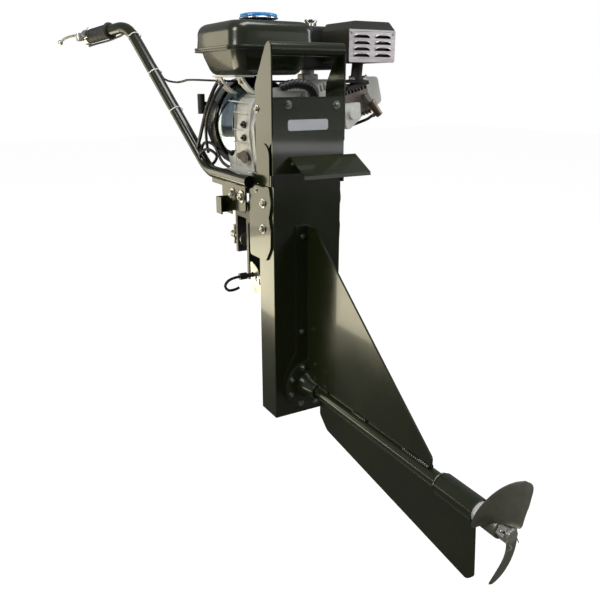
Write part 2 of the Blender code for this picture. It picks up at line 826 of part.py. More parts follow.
def belt_outline(lower, upper, reach=0.0):
    """The outline of a loop round two wheels on the XZ plane, each grown by the reach."""
    lower += reach
    upper += reach
    lean = math.asin((lower - upper) / CRANK_Z)
    steps = 12
    outline = []
    for index in range(steps + 1):
        angle = lean + (math.pi - 2 * lean) * index / steps
        outline.append((upper * math.cos(angle), CRANK_Z + upper * math.sin(angle)))
    for index in range(steps + 1):
        angle = math.pi - lean + (math.pi + 2 * lean) * index / steps
        outline.append((lower * math.cos(angle), lower * math.sin(angle)))
    return outline


def make_belt_drive():
    """The drive pulley on the crank, the driven pulley on the shaft, and the belt."""
    add_body("crank", (0, 0, CRANK_Z), "motor")
    for name, body, radius, bore, z in (
        ("drive_pulley", "crank", DRIVE_PULLEY_RADIUS, 0.0099, CRANK_Z),
        ("driven_pulley", "propeller", DRIVEN_PULLEY_RADIUS, 0.0104, 0.0),
    ):
        profile = [
            (radius + 0.0030, 0.0460),
            (radius + 0.0030, 0.0442),
            (radius, 0.0442),
            (radius, 0.0178),
            (radius + 0.0030, 0.0178),
            (radius + 0.0030, 0.0160),
            (bore, 0.0160),
            (bore, 0.0460),
        ]
        add_turned(name, body, profile, (0, 0, z), "Y", MACHINED_STEEL)
    inner = belt_outline(DRIVEN_PULLEY_RADIUS, DRIVE_PULLEY_RADIUS, 0.0008)
    outer = belt_outline(DRIVEN_PULLEY_RADIUS, DRIVE_PULLEY_RADIUS, 0.0008 + BELT_THICKNESS)
    add_plate("drive_belt", "motor", "XZ", [outer, inner], 0.0185, 0.0435, BLACK_RUBBER)


make_shaft_drive()
make_propeller()
make_fins()
make_belt_drive()


def make_clamp():
    """The clamp: an inverted U over the transom, with ears for the tilt bolt and a trim rack."""
    half = CLAMP_HALF_WIDTH
    aft_face = SEAT_Y - TRANSOM_GAP / 2
    fore_face = SEAT_Y + TRANSOM_GAP / 2
    hoop = [
        (aft_face - CLAMP_PLATE, 0.200),
        (aft_face, 0.200),
        (aft_face, SEAT_Z),
        (fore_face, SEAT_Z),
        (fore_face, 0.255),
        (fore_face + CLAMP_PLATE, 0.255),
        (fore_face + CLAMP_PLATE, SEAT_Z + 0.012, 0.006),
        (aft_face - CLAMP_PLATE, SEAT_Z + 0.012, 0.002),
    ]
    clamp = add_plate(
        "transom_clamp", "clamp", "YZ", [rounded(hoop, 0.0)], -half, half, BLACK_PAINT
    )
    ear = [
        (aft_face - 0.003, 0.330, 0.004),
        (aft_face - 0.003, 0.3565, 0.0),
        (TILT_Y + 0.013, TILT_Z + 0.014, 0.012),
        (TILT_Y - 0.014, TILT_Z + 0.014, 0.012),
        (TILT_Y - 0.014, TILT_Z - 0.022, 0.006),
        (aft_face - 0.006, 0.330, 0.004),
    ]
    hole = circle((TILT_Y, TILT_Z), bore_for(0.006))
    for side, low in (("left", -half - 0.0004), ("right", half - 0.0076)):
        plate = add_plate(
            f"clamp_ear_{side}",
            "clamp",
            "YZ",
            [rounded(ear, 0.003), hole],
            low,
            low + 0.008,
            BLACK_PAINT,
        )
        join(clamp, plate)
    for side, x in (("left", -0.026), ("right", 0.026)):
        boss = add_rod(
            f"screw_boss_{side}",
            "clamp",
            (x, fore_face + 0.008, 0.285),
            (x, fore_face + 0.020, 0.285),
            0.0125,
            BLACK_PAINT,
            sides=18,
        )
        join(clamp, boss)
    for x in (-0.026, 0.026):
        thread = add_rod(
            "screw_thread",
            "clamp",
            (x, fore_face - 0.01, 0.285),
            (x, fore_face + 0.04, 0.285),
            bore_for(0.006, 18),
            BLACK_PAINT,
            sides=18,
        )
        cut(clamp, thread)
    trim_slots = [
        slot_outline(TRIM_PIN_Y - 0.019 * index, TRIM_PIN_Z - 0.004 * index, 0.0057, 0.0075)
        for index in range(3)
    ]
    rack = [
        (aft_face - CLAMP_PLATE - GAP, 0.195, 0.004),
        (aft_face - CLAMP_PLATE - GAP, 0.250, 0.010),
        (0.160, 0.238, 0.010),
        (0.118, 0.205, 0.008),
        (0.112, 0.176, 0.006),
        (0.170, 0.176, 0.010),
    ]
    for side, low in (("left", -half + 0.002), ("right", half - 0.005)):
        add_plate(
            f"trim_rack_{side}",
            "clamp",
            "YZ",
            [rounded(rack, 0.003), *trim_slots],
            low,
            low + 0.003,
            ZINC_STEEL,
        )
    bolt = add_rod(
        "tilt_bolt", "clamp", (-0.0575, TILT_Y, TILT_Z), (0.056, TILT_Y, TILT_Z), 0.006, ZINC_STEEL
    )
    for side, outward in (("left", -1), ("right", 1)):
        face = outward * (half + 0.0008)
        nut = add_rod(
            f"tilt_nut_{side}",
            "clamp",
            (face, TILT_Y, TILT_Z),
            (face + outward * 0.0085, TILT_Y, TILT_Z),
            0.0105,
            ZINC_STEEL,
            sides=6,
        )
        join(bolt, nut)


def slot_outline(centre_y, centre_z, radius, length, steps=6):
    """A round-ended slot, longer along its second direction."""
    outline = []
    for index in range(steps + 1):
        angle = math.pi * index / steps
        outline.append(
            (
                centre_y + radius * math.cos(angle),
                centre_z + length - radius + radius * math.sin(angle),
            ),
        )
    for index in range(steps + 1):
        angle = math.pi + math.pi * index / steps
        outline.append(
            (
                centre_y + radius * math.cos(angle),
                centre_z - length + radius + radius * math.sin(angle),
            ),
        )
    return outline


def make_clamp_screws():
    """Two clamp screws, each with a bar handle and a swivelling pad inside the clamp."""
    fore_face = SEAT_Y + TRANSOM_GAP / 2
    z = 0.285
    for side, x in (("left", -0.026), ("right", 0.026)):
        pad_body = f"clamp_pad_{side}"
        screw_body = f"clamp_screw_{side}"
        add_body(pad_body, (x, fore_face, z), "clamp")
        add_body(screw_body, (x, fore_face, z), pad_body)
        pad = add_ring(
            pad_body,
            pad_body,
            0.0170,
            0.0045,
            fore_face - 0.0085,
            fore_face - 0.0010,
            (x, 0, z),
            "Y",
            ZINC_STEEL,
            18,
        )
        cap = add_rod(
            f"pad_cap_{side}",
            pad_body,
            (x, fore_face - 0.0090, z),
            (x, fore_face - 0.0060, z),
            0.0165,
            ZINC_STEEL,
            sides=18,
        )
        join(pad, cap)
        screw = add_rod(
            screw_body,
            screw_body,
            (x, fore_face - 0.0055, z),
            (x, fore_face + 0.0700, z),
            0.0060,
            ZINC_STEEL,
            sides=18,
        )
        neck = add_rod(
            f"screw_neck_{side}",
            screw_body,
            (x, fore_face + 0.050, z),
            (x, fore_face + 0.0720, z),
            0.0085,
            ZINC_STEEL,
            sides=18,
        )
        tip = add_ring(
            f"screw_tip_{side}",
            screw_body,
            0.0090,
            0.0038,
            fore_face - 0.0060,
            fore_face + 0.0005,
            (x, 0, z),
            "Y",
            ZINC_STEEL,
            18,
        )
        bar = add_rod(
            f"screw_bar_{side}",
            screw_body,
            (x, fore_face + 0.0620, z - BAR_REACH),
            (x, fore_face + 0.0620, z + BAR_REACH),
            0.0033,
            ZINC_STEEL,
            sides=ROUND_SMALL,
        )
        join(screw, neck, bar)
        cut(screw, tip)
        for label, end in (("low", -BAR_REACH), ("high", BAR_REACH)):
            knob = ball(
                f"bar_end_{label}_{side}",
                screw_body,
                (x, fore_face + 0.0620, z + end),
                0.0048,
                ZINC_STEEL,
            )
            join(screw, knob)


def make_swivel():
    """The swivel: a barrel round the king pin, a head on the tilt bolt, and a tail on the trim pin."""
    barrel = add_ring(
        "swivel_bracket",
        "swivel",
        0.0190,
        bore_for(KING_PIN_RADIUS),
        0.2985,
        0.4045,
        (0, KING_PIN_Y, 0),
        "Z",
        BLACK_PAINT,
    )
    head = add_box(
        "swivel_head", "swivel", (-0.0370, 0.1520, 0.3550), (0.0370, 0.1780, 0.3900), BLACK_PAINT
    )
    web = add_box(
        "swivel_web", "swivel", (-0.0180, 0.1530, 0.3050), (0.0180, 0.1760, 0.3600), BLACK_PAINT
    )
    knuckle = add_rod(
        "swivel_knuckle",
        "swivel",
        (-0.0372, TILT_Y, TILT_Z),
        (0.0372, TILT_Y, TILT_Z),
        0.0088,
        BLACK_PAINT,
    )
    tail = add_box(
        "swivel_tail", "swivel", (-0.0200, 0.1660, 0.1950), (0.0200, 0.1755, 0.3700), BLACK_PAINT
    )
    tilt_bore = add_rod(
        "swivel_tilt_bore",
        "swivel",
        (-0.05, TILT_Y, TILT_Z),
        (0.05, TILT_Y, TILT_Z),
        bore_for(0.006),
        BLACK_PAINT,
    )
    join(barrel, head, web, knuckle, tail)
    king_bore = add_rod(
        "swivel_king_bore",
        "swivel",
        (0, KING_PIN_Y, 0.28),
        (0, KING_PIN_Y, 0.42),
        bore_for(KING_PIN_RADIUS),
        BLACK_PAINT,
    )
    cut(barrel, tilt_bore, king_bore)


def make_trim_pin():
    """The trim pin through both racks, with a hooked pull at its left end."""
    add_body("trim_pin", (0, TRIM_PIN_Y, TRIM_PIN_Z), "clamp")
    y = TRIM_PIN_Y
    z = TRIM_PIN_Z
    pin = add_rod(
        "trim_pin", "trim_pin", (-0.066, y, z), (0.052, y, z), 0.0050, BLACK_PAINT, sides=16
    )
    collar = add_rod(
        "trim_collar", "trim_pin", (-0.078, y, z), (-0.0600, y, z), 0.0080, BLACK_PAINT, sides=16
    )
    hook_points = smooth_route(
        [
            (-0.074, y, z),
            (-0.092, y - 0.001, z - 0.001),
            (-0.108, y - 0.002, z - 0.006),
            (-0.116, y - 0.003, z - 0.017),
            (-0.108, y - 0.003, z - 0.028),
            (-0.092, y - 0.002, z - 0.029),
            (-0.080, y - 0.001, z - 0.026),
        ],
        0.006,
    )
    hook = add_tube("trim_hook", "trim_pin", hook_points, 0.0034, BLACK_PAINT, 2)
    join(pin, collar, hook)


make_clamp()
make_clamp_screws()
make_swivel()
make_trim_pin()


def make_crankcase():
    """The crankcase on its feet, and the cover on its drive side."""
    bottom = BED_TOP + GAP
    case_outline = [
        (-0.076, bottom, 0.0),
        (0.082, bottom, 0.0),
        (0.082, 0.462, 0.002),
        (0.070, 0.466, 0.004),
        (0.076, 0.520, 0.010),
        (0.094, 0.545, 0.010),
        (0.078, 0.636, 0.012),
        (-0.020, 0.634, 0.040),
        (-0.072, 0.610, 0.040),
        (-0.080, 0.540, 0.030),
        (-0.068, 0.466, 0.004),
        (-0.076, 0.462, 0.002),
    ]
    outline = rounded(case_outline, 0.004)
    case = add_plate("crankcase", "motor", "XZ", [outline], 0.1080, 0.2350, CAST_ALUMINIUM)
    bore = add_rod(
        "crankcase_bore", "motor", (0, 0.09, CRANK_Z), (0, 0.25, CRANK_Z), 0.0125, CAST_ALUMINIUM
    )
    chamber = add_box(
        "crank_chamber", "motor", (-0.058, 0.1140, 0.462), (0.060, 0.2290, 0.616), CAST_ALUMINIUM
    )
    cut(case, bore, chamber)
    cover_outline = [
        (-0.070, 0.470, 0.020),
        (0.066, 0.470, 0.020),
        (0.080, 0.560, 0.020),
        (0.050, 0.628, 0.020),
        (-0.050, 0.628, 0.030),
        (-0.076, 0.560, 0.030),
    ]
    outline = rounded(cover_outline, 0.010)
    cover = add_plate("crankcase_cover", "motor", "XZ", [outline], 0.0920, 0.1077, CAST_ALUMINIUM)
    boss = add_rod(
        "cover_boss", "motor", (0, 0.0686, CRANK_Z), (0, 0.0930, CRANK_Z), 0.0400, CAST_ALUMINIUM
    )
    bore = add_rod(
        "cover_bore", "motor", (0, 0.06, CRANK_Z), (0, 0.12, CRANK_Z), 0.0125, CAST_ALUMINIUM
    )
    join(cover, boss)
    cut(cover, bore)


FILLER = (-0.012, 0.190)
LEAN = math.radians(15)
CYLINDER_ROOT = Vector((0.0700, 0.0, 0.5800))


def along_cylinder(distance, height):
    """A point on the XZ plane, measured along the leaning cylinder and across it."""
    x = CYLINDER_ROOT.x + distance * math.cos(LEAN) - height * math.sin(LEAN)
    z = CYLINDER_ROOT.z + distance * math.sin(LEAN) + height * math.cos(LEAN)
    return (x, z)


def comb_outline(start, count, spacing, above, below):
    """A block with cooling fins on both sides, as one outline along the cylinder."""
    upper = []
    lower = []
    for index in range(count):
        near = start + index * spacing
        far = near + 0.0025
        for side, (core, fin) in ((upper, above), (lower, below)):
            side += [(near, core), (near, fin), (far, fin), (far, core)]
    outline = upper + [(distance, -height) for distance, height in reversed(lower)]
    return [along_cylinder(distance, height) for distance, height in outline]


def make_cylinder():
    """The finned barrel, the finned head and the rocker cover, one behind another."""
    barrel = comb_outline(0.0270, 7, 0.0090, (0.036, 0.052), (0.036, 0.048))
    add_prism("cylinder", "motor", barrel, 0.1150, 0.2200, CAST_ALUMINIUM)
    fins = comb_outline(0.0850, 9, 0.0088, (0.012, 0.0215), (0.034, 0.044))
    head = add_prism("cylinder_head", "motor", fins, 0.1120, 0.2080, CAST_ALUMINIUM)
    lug_outline = [
        (0.152, 0.6000, 0.004),
        (0.157, 0.5370, 0.008),
        (0.196, 0.5690, 0.006),
        (0.192, 0.6030, 0.004),
    ]
    lug = add_plate(
        "head_lug", "motor", "XZ", [rounded(lug_outline, 0.004)], 0.0990, 0.1146, CAST_ALUMINIUM
    )
    boss = add_rod(
        "lug_boss", "motor", (0.174, 0.0940, 0.578), (0.174, 0.1000, 0.578), 0.0110, CAST_ALUMINIUM
    )
    join(head, lug, boss)
    cover = [
        (0.1620, -0.038),
        (0.1620, 0.038),
        (0.1680, 0.038, 0.003),
        (0.1680, 0.034, 0.003),
        (0.1950, 0.029, 0.010),
        (0.1950, -0.029, 0.010),
        (0.1680, -0.034, 0.003),
        (0.1680, -0.038, 0.003),
    ]
    outline = [along_cylinder(distance, height) for distance, height in rounded(cover, 0.0)]
    add_plate("rocker_cover", "motor", "XZ", [outline], 0.1180, 0.1860, CAST_ALUMINIUM)


def make_spark_plug():
    """The spark plug on the head's aft face, with its cap and the cap's elbow."""
    seat = Vector((0.2120, 0.1030, 0.6150))
    along = Vector((0.600, -0.180, -0.780)).normalized()
    plug = add_rod(
        "spark_plug",
        "motor",
        seat - along * 0.004,
        seat + along * 0.012,
        0.0075,
        ZINC_STEEL,
        sides=6,
    )
    thread = seat + Vector((0, 0.0087, 0))
    shell = add_rod("plug_shell", "motor", seat, thread, 0.0060, ZINC_STEEL, sides=ROUND_SMALL)
    tip = seat + along * 0.030
    porcelain = add_rod("plug_insulator", "motor", seat, tip, 0.0045, ZINC_STEEL, sides=ROUND_SMALL)
    join(plug, shell, porcelain)
    start = seat + along * 0.0150
    end = seat + along * 0.0520
    cap = add_rod(
        "plug_cap", "motor", start, end, 0.0100, BLACK_RUBBER, end_radius=0.0080, sides=ROUND_SMALL
    )
    deep = seat + along * 0.0310
    before = start - along * 0.01
    socket = add_rod("cap_socket", "motor", before, deep, 0.0052, BLACK_RUBBER, sides=ROUND_SMALL)
    lead = end + Vector((0.004, 0.030, -0.002))
    elbow = add_rod(
        "cap_elbow", "motor", end - along * 0.008, lead, 0.0045, BLACK_RUBBER, sides=ROUND_SMALL
    )
    cut(cap, socket)
    join(cap, elbow)


def make_crank_train():
    """The crankshaft and flywheel, which turn together with the drive pulley."""
    shaft = add_rod(
        "crankshaft", "crank", (0, 0.0120, CRANK_Z), (0, 0.2880, CRANK_Z), 0.0095, MACHINED_STEEL
    )
    nut = add_rod(
        "crank_nut",
        "crank",
        (0, 0.2790, CRANK_Z),
        (0, 0.2890, CRANK_Z),
        0.0130,
        MACHINED_STEEL,
        sides=6,
    )
    join(shaft, nut)
    wheel = [
        (0.0840, 0.2740),
        (0.0840, 0.2440),
        (0.0700, 0.2420),
        (0.0099, 0.2420),
        (0.0099, 0.2740),
        (0.0300, 0.2740),
        (0.0400, 0.2560),
        (0.0700, 0.2560),
        (0.0740, 0.2740),
    ]
    add_turned("flywheel", "crank", wheel, (0, 0, CRANK_Z), "Y", CAST_ALUMINIUM)


def make_fan_and_starter():
    """The fan housing round the flywheel and the recoil starter on its front."""
    housing = [
        (0.1000, 0.2353),
        (0.1000, 0.2770),
        (0.0960, 0.2930),
        (0.0700, 0.2970),
        (0.0700, 0.3000),
        (0.0980, 0.2960),
        (0.1035, 0.2780),
        (0.1035, 0.2353),
    ]
    add_turned("fan_housing", "motor", housing, (0, 0, CRANK_Z), "Y", BLACK_PAINT, 28)
    cup = [
        (0.0660, 0.3003),
        (0.0660, 0.3033),
        (0.0720, 0.3033),
        (0.0710, 0.3190),
        (0.0640, 0.3350),
        (0.0440, 0.3370),
        (0.0440, 0.3400),
        (0.0660, 0.3380),
        (0.0750, 0.3200),
        (0.0760, 0.3003),
    ]
    starter = add_turned("recoil_housing", "motor", cup, (0, 0, CRANK_Z), "Y", BLACK_PAINT, 28)
    low = (-0.0580, 0.3352, CRANK_Z - 0.006)
    spider = add_box("recoil_spider", "motor", low, (0.0580, 0.3385, CRANK_Z + 0.006), BLACK_PAINT)
    post = add_rod(
        "recoil_post",
        "motor",
        (0, 0.2960, CRANK_Z),
        (0, 0.3370, CRANK_Z),
        0.0050,
        BLACK_PAINT,
        sides=16,
    )
    y = 0.3170
    z = CRANK_Z + 0.0420
    mouth = add_rod(
        "rope_mouth",
        "motor",
        (-0.095, y, z),
        (-0.030, y, z),
        0.0050,
        BLACK_PAINT,
        sides=ROUND_SMALL,
    )
    join(starter, spider, post)
    cut(starter, mouth)
    add_body("starter_reel", (0, 0, CRANK_Z), "motor")
    hole = bore_for(0.0050, 16)
    reel = [
        (hole, 0.3260),
        (0.0450, 0.3260),
        (0.0450, 0.3230),
        (0.0400, 0.3230),
        (0.0400, 0.3110),
        (0.0450, 0.3110),
        (0.0450, 0.3080),
        (hole, 0.3080),
    ]
    add_turned("starter_reel", "starter_reel", reel, (0, 0, CRANK_Z), "Y", BLACK_PLASTIC, 16)
    add_body("starter_grip", (-0.100, y, z), "motor")
    low = (-0.1000, y, z - 0.022)
    grip = add_rod(
        "starter_grip",
        "starter_grip",
        low,
        (-0.1000, y, z + 0.022),
        0.0085,
        BLACK_PLASTIC,
        sides=ROUND_SMALL,
    )
    stem = add_rod(
        "grip_stem",
        "starter_grip",
        (-0.1000, y, z),
        (-0.0800, y, z),
        0.0065,
        BLACK_PLASTIC,
        0.0035,
        ROUND_SMALL,
    )
    rope = add_rod(
        "grip_rope", "starter_grip", (-0.0900, y, z), (0.0450, y, z), 0.0016, BLACK_PLASTIC, sides=8
    )
    join(grip, stem, rope)


make_crankcase()
make_cylinder()
make_spark_plug()
make_crank_train()
make_fan_and_starter()


def make_fuel_tank():
    """The fuel tank: a tray and a lid that meet at a seam, with a filler neck in the lid."""
    tank = add_shell_block(
        "fuel_tank", (-0.107, 0.104, 0.6600), (0.064, 0.305, 0.708), 0.030, 0.016, "down"
    )
    lid = add_shell_block(
        "tank_lid", (-0.115, 0.094, 0.715), (0.072, 0.315, 0.766), 0.034, 0.016, "up"
    )
    seam_outline = [
        (-0.120, 0.089, 0.038),
        (0.077, 0.089, 0.038),
        (0.077, 0.320, 0.038),
        (-0.120, 0.320, 0.038),
    ]
    seam = add_plate(
        "tank_seam", "motor", "XY", [rounded(seam_outline, 0.03, 4)], 0.7070, 0.7160, GREEN_PAINT
    )
    x, y = FILLER
    neck = add_rod("filler_neck", "motor", (x, y, 0.760), (x, y, 0.7715), 0.0290, GREEN_PAINT)
    mouth = add_rod("filler_mouth", "motor", (x, y, 0.735), (x, y, 0.780), 0.0220, GREEN_PAINT)
    tray_room = add_shell_block(
        "tray_room", (-0.104, 0.107, 0.663), (0.061, 0.302, 0.712), 0.028, 0.016, "down"
    )
    lid_room = add_shell_block(
        "lid_room", (-0.112, 0.097, 0.711), (0.069, 0.312, 0.763), 0.032, 0.016, "up"
    )
    join(tank, seam, lid, neck)
    cut(tank, tray_room, lid_room, mouth)
    add_body("fuel_cap", (x, y, 0.772), "motor")
    cap = [
        (0.0000, 0.0120),
        (0.0300, 0.0120),
        (0.0385, 0.0100),
        (0.0400, 0.0070),
        (0.0385, 0.0025),
        (0.0330, 0.0003),
        (0.0300, 0.0003),
        (0.0300, 0.0020),
        (0.0200, 0.0020),
        (0.0200, -0.0080),
        (0.0000, -0.0080),
    ]
    add_turned("fuel_cap", "fuel_cap", cap, (x, y, 0.772), "Z", BLUE_ENAMEL)


def add_shell_block(name, low, high, corner, slope, closing):
    """A block with rounded upright corners whose far face is drawn in by the slope."""
    low = Vector(low)
    high = Vector(high)
    bm = bmesh.new()
    loops = []
    tall = high.z - low.z
    if closing == "up":
        levels = [
            (0.0, low.z),
            (0.002, low.z + 0.45 * tall),
            (0.30 * slope, low.z + 0.85 * tall),
            (slope, high.z),
        ]
    else:
        levels = [
            (slope, low.z),
            (0.60 * slope, low.z + 0.10 * tall),
            (0.25 * slope, low.z + 0.55 * tall),
            (0.0, high.z),
        ]
    for inset, z in levels:
        corners = [
            (low.x + inset, low.y + inset),
            (high.x - inset, low.y + inset),
            (high.x - inset, high.y - inset),
            (low.x + inset, high.y - inset),
        ]
        loops.append([bm.verts.new((x, y, z)) for x, y in rounded(corners, corner, 4)])
    for below, above in zip(loops, loops[1:]):
        for index in range(len(below)):
            after = (index + 1) % len(below)
            bm.faces.new((below[index], below[after], above[after], above[index]))
    bm.faces.new(loops[0][::-1])
    bm.faces.new(loops[-1])
    bmesh.ops.recalc_face_normals(bm, faces=bm.faces)
    return add_piece(name, "motor", finish_mesh(bm, name), GREEN_PAINT, (0, 0, 0))


def make_exhaust():
    """The exhaust pipe off the head and the muffler in its louvred guard."""
    guard_outline = [
        (0.139, 0.686, 0.004),
        (0.259, 0.686, 0.004),
        (0.259, 0.750, 0.004),
        (0.240, 0.768, 0.004),
        (0.150, 0.768, 0.004),
        (0.139, 0.752, 0.004),
    ]
    outline = rounded(guard_outline, 0.0, 2)
    guard = add_plate("muffler_guard", "motor", "XZ", [outline], 0.0680, 0.1780, HEAT_STEEL)
    room = add_box(
        "muffler_room", "motor", (0.142, 0.0705, 0.600), (0.256, 0.1755, 0.748), HEAT_STEEL
    )
    cut(guard, room)
    for column in range(2):
        for row in range(4):
            x = 0.150 + 0.055 * column
            z = 0.697 + 0.0125 * row
            cut(
                guard,
                add_box(
                    "louvre", "motor", (x, 0.060, z), (x + 0.042, 0.072, z + 0.0055), HEAT_STEEL
                ),
            )
    for index in range(9):
        x = 0.152 + 0.0098 * index
        cut(
            guard,
            add_box("vent", "motor", (x, 0.075, 0.740), (x + 0.0045, 0.110, 0.775), HEAT_STEEL),
        )
    low = (0.146, 0.0745, 0.6900)
    body = add_box(
        "muffler", "motor", low, (0.252, 0.1720, 0.7440), BLACK_PAINT, bevel=0.008, segments=2
    )
    pipe = add_rod(
        "exhaust_pipe",
        "motor",
        (0.191, 0.118, 0.642),
        (0.196, 0.118, 0.692),
        0.0125,
        BLACK_PAINT,
        sides=18,
    )
    flange = [
        along_cylinder(0.1000, 0.0220),
        along_cylinder(0.1570, 0.0220),
        along_cylinder(0.1570, 0.0300),
        along_cylinder(0.1000, 0.0300),
    ]
    foot = add_plate("exhaust_flange", "motor", "XZ", [flange], 0.1000, 0.1360, BLACK_PAINT)
    room = add_box(
        "muffler_hollow", "motor", (0.1505, 0.0790, 0.6945), (0.2475, 0.1675, 0.7395), BLACK_PAINT
    )
    way = add_rod(
        "pipe_bore", "motor", (0.1905, 0.118, 0.628), (0.196, 0.118, 0.700), 0.0100, BLACK_PAINT
    )
    join(body, pipe, foot)
    cut(body, room, way)


def make_air_intake():
    """The carburettor behind the cylinder, the air cleaner on it, and the small levers."""
    low = (0.118, 0.2260, 0.618)
    carburettor = add_box(
        "carburettor", "motor", low, (0.160, 0.2560, 0.664), CAST_ALUMINIUM, bevel=0.003
    )
    bowl = add_rod(
        "float_bowl",
        "motor",
        (0.139, 0.2410, 0.592),
        (0.139, 0.2410, 0.620),
        0.0180,
        CAST_ALUMINIUM,
        sides=18,
    )
    duct = add_rod(
        "intake_duct",
        "motor",
        (0.139, 0.2410, 0.660),
        (0.139, 0.2410, 0.672),
        0.0150,
        CAST_ALUMINIUM,
        sides=18,
    )
    join(carburettor, bowl, duct)
    low = (0.092, 0.1900, 0.6725)
    cleaner = add_box(
        "air_cleaner", "motor", low, (0.196, 0.2900, 0.7650), BLACK_PLASTIC, bevel=0.010, segments=2
    )
    knob = add_rod(
        "cleaner_stud",
        "motor",
        (0.146, 0.240, 0.7625),
        (0.146, 0.240, 0.782),
        0.0045,
        ZINC_STEEL,
        sides=ROUND_SMALL,
    )
    wings = add_box(
        "cleaner_wings", "motor", (0.132, 0.2385, 0.769), (0.160, 0.2415, 0.780), ZINC_STEEL
    )
    room = add_box(
        "cleaner_room", "motor", (0.0975, 0.1955, 0.6780), (0.1905, 0.2845, 0.7590), BLACK_PLASTIC
    )
    inlet = add_rod(
        "cleaner_inlet",
        "motor",
        (0.139, 0.241, 0.650),
        (0.139, 0.241, 0.690),
        0.0120,
        BLACK_PLASTIC,
    )
    join(cleaner, knob, wings)
    cut(cleaner, room, inlet)
    add_hand_lever("choke_lever", (0.1603, 0.2480, 0.652), 0.016, math.radians(20))
    add_hand_lever("fuel_tap_lever", (0.1603, 0.2330, 0.626), 0.022, math.radians(-100))
    add_hand_lever("throttle_arm", (0.1603, 0.2350, 0.6440), 0.018, math.radians(-140))


def add_hand_lever(name, pivot, length, angle):
    """A small flat lever on a boss, turning about the X axis."""
    pivot = Vector(pivot)
    add_body(name, pivot, "motor")
    boss = add_rod(
        name, name, pivot, pivot + Vector((0.005, 0, 0)), 0.0050, BLACK_PLASTIC, sides=ROUND_SMALL
    )
    tip = pivot + Vector((0.003, length * math.cos(angle), length * math.sin(angle)))
    blade = add_rod(
        name + "_blade", name, pivot + Vector((0.003, 0, 0)), tip, 0.0018, BLACK_PLASTIC, sides=8
    )
    join(boss, blade)


def make_switch():
    """The engine switch: a knob on the front of the fan housing."""
    place = Vector((-0.0612, 0.2996, CRANK_Z - 0.0612))
    add_body("engine_switch", place, "motor")
    end = place + Vector((0, 0.010, 0))
    knob = add_rod(
        "engine_switch", "engine_switch", place, end, 0.0080, RED_PLASTIC, sides=ROUND_SMALL
    )
    low = place + Vector((-0.0025, 0.008, -0.0075))
    bar = add_box(
        "switch_bar", "engine_switch", low, place + Vector((0.0025, 0.016, 0.0075)), RED_PLASTIC
    )
    join(knob, bar)


make_fuel_tank()
make_exhaust()
make_air_intake()
make_switch()
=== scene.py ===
"""The looks of a small belt-drive outboard motor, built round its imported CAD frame."""

import json
import math

import bmesh
import bpy
import numpy as np
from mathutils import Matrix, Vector


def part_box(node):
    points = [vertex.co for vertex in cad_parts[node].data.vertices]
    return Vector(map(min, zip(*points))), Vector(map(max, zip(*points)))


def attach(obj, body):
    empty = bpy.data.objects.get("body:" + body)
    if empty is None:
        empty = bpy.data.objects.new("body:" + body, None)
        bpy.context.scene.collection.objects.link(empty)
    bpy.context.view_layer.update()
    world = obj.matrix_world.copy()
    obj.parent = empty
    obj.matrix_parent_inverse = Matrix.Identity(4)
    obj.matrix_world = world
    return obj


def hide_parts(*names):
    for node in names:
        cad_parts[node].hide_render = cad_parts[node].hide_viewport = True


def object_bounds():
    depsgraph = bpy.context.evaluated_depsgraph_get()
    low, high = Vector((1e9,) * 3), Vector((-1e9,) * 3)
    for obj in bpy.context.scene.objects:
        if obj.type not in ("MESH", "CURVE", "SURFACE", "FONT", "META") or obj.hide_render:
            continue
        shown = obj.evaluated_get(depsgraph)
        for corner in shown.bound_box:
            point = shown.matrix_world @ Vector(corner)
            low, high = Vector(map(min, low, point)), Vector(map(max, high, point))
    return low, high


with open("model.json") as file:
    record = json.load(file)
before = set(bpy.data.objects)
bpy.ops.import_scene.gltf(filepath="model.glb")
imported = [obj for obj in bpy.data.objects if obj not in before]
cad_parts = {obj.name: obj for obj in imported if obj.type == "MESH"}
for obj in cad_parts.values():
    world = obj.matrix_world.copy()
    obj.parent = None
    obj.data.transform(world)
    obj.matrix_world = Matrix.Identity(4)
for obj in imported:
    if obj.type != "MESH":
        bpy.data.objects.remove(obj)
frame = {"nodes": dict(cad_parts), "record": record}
nodes = frame["nodes"]
cad_box = [list(corner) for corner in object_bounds()]

# The camera stands behind and to port of the motor, a little above its middle, and looks down at
# it. Colours are shown plainly, with no film curve over them.
LENS_MM = 39.713
SENSOR_MM = 36.0
CAMERA_PLACE = (-0.68664, -1.40710, 0.30150)
CAMERA_TILT = 90 - 18.2557
CAMERA_TURN = -29.5738
camera_data = bpy.data.cameras.new("camera")
camera_data.lens = LENS_MM
camera_data.sensor_width = SENSOR_MM
camera = bpy.data.objects.new("camera", camera_data)
camera.location = CAMERA_PLACE
camera.rotation_euler = (math.radians(CAMERA_TILT), 0.0, math.radians(CAMERA_TURN))
bpy.context.scene.collection.objects.link(camera)
bpy.context.scene.camera = camera
bpy.context.scene.view_settings.view_transform = "Standard"

# The studio: a pale floor, a soft sky that is bright to the eye but weak as a reflection, and
# seven area lamps. The two warm cards, one upright and one on the floor, lie ahead and to port,
# where the leg's left side mirrors them.
FLOOR_GAP = 0.030
FLOOR_Z = cad_box[0][2] - FLOOR_GAP


def add_lamp(name, place, target, width, height, power, colour):
    """A flat lamp at a place, facing its target; sizes are in metres and the power in watts."""
    lamp = bpy.data.lights.new(name, "AREA")
    lamp.shape = "RECTANGLE"
    lamp.size = width
    lamp.size_y = height
    lamp.energy = power
    lamp.color = colour
    holder = bpy.data.objects.new(name, lamp)
    holder.location = place
    holder.rotation_euler = (Vector(target) - Vector(place)).to_track_quat("-Z", "Y").to_euler()
    bpy.context.scene.collection.objects.link(holder)


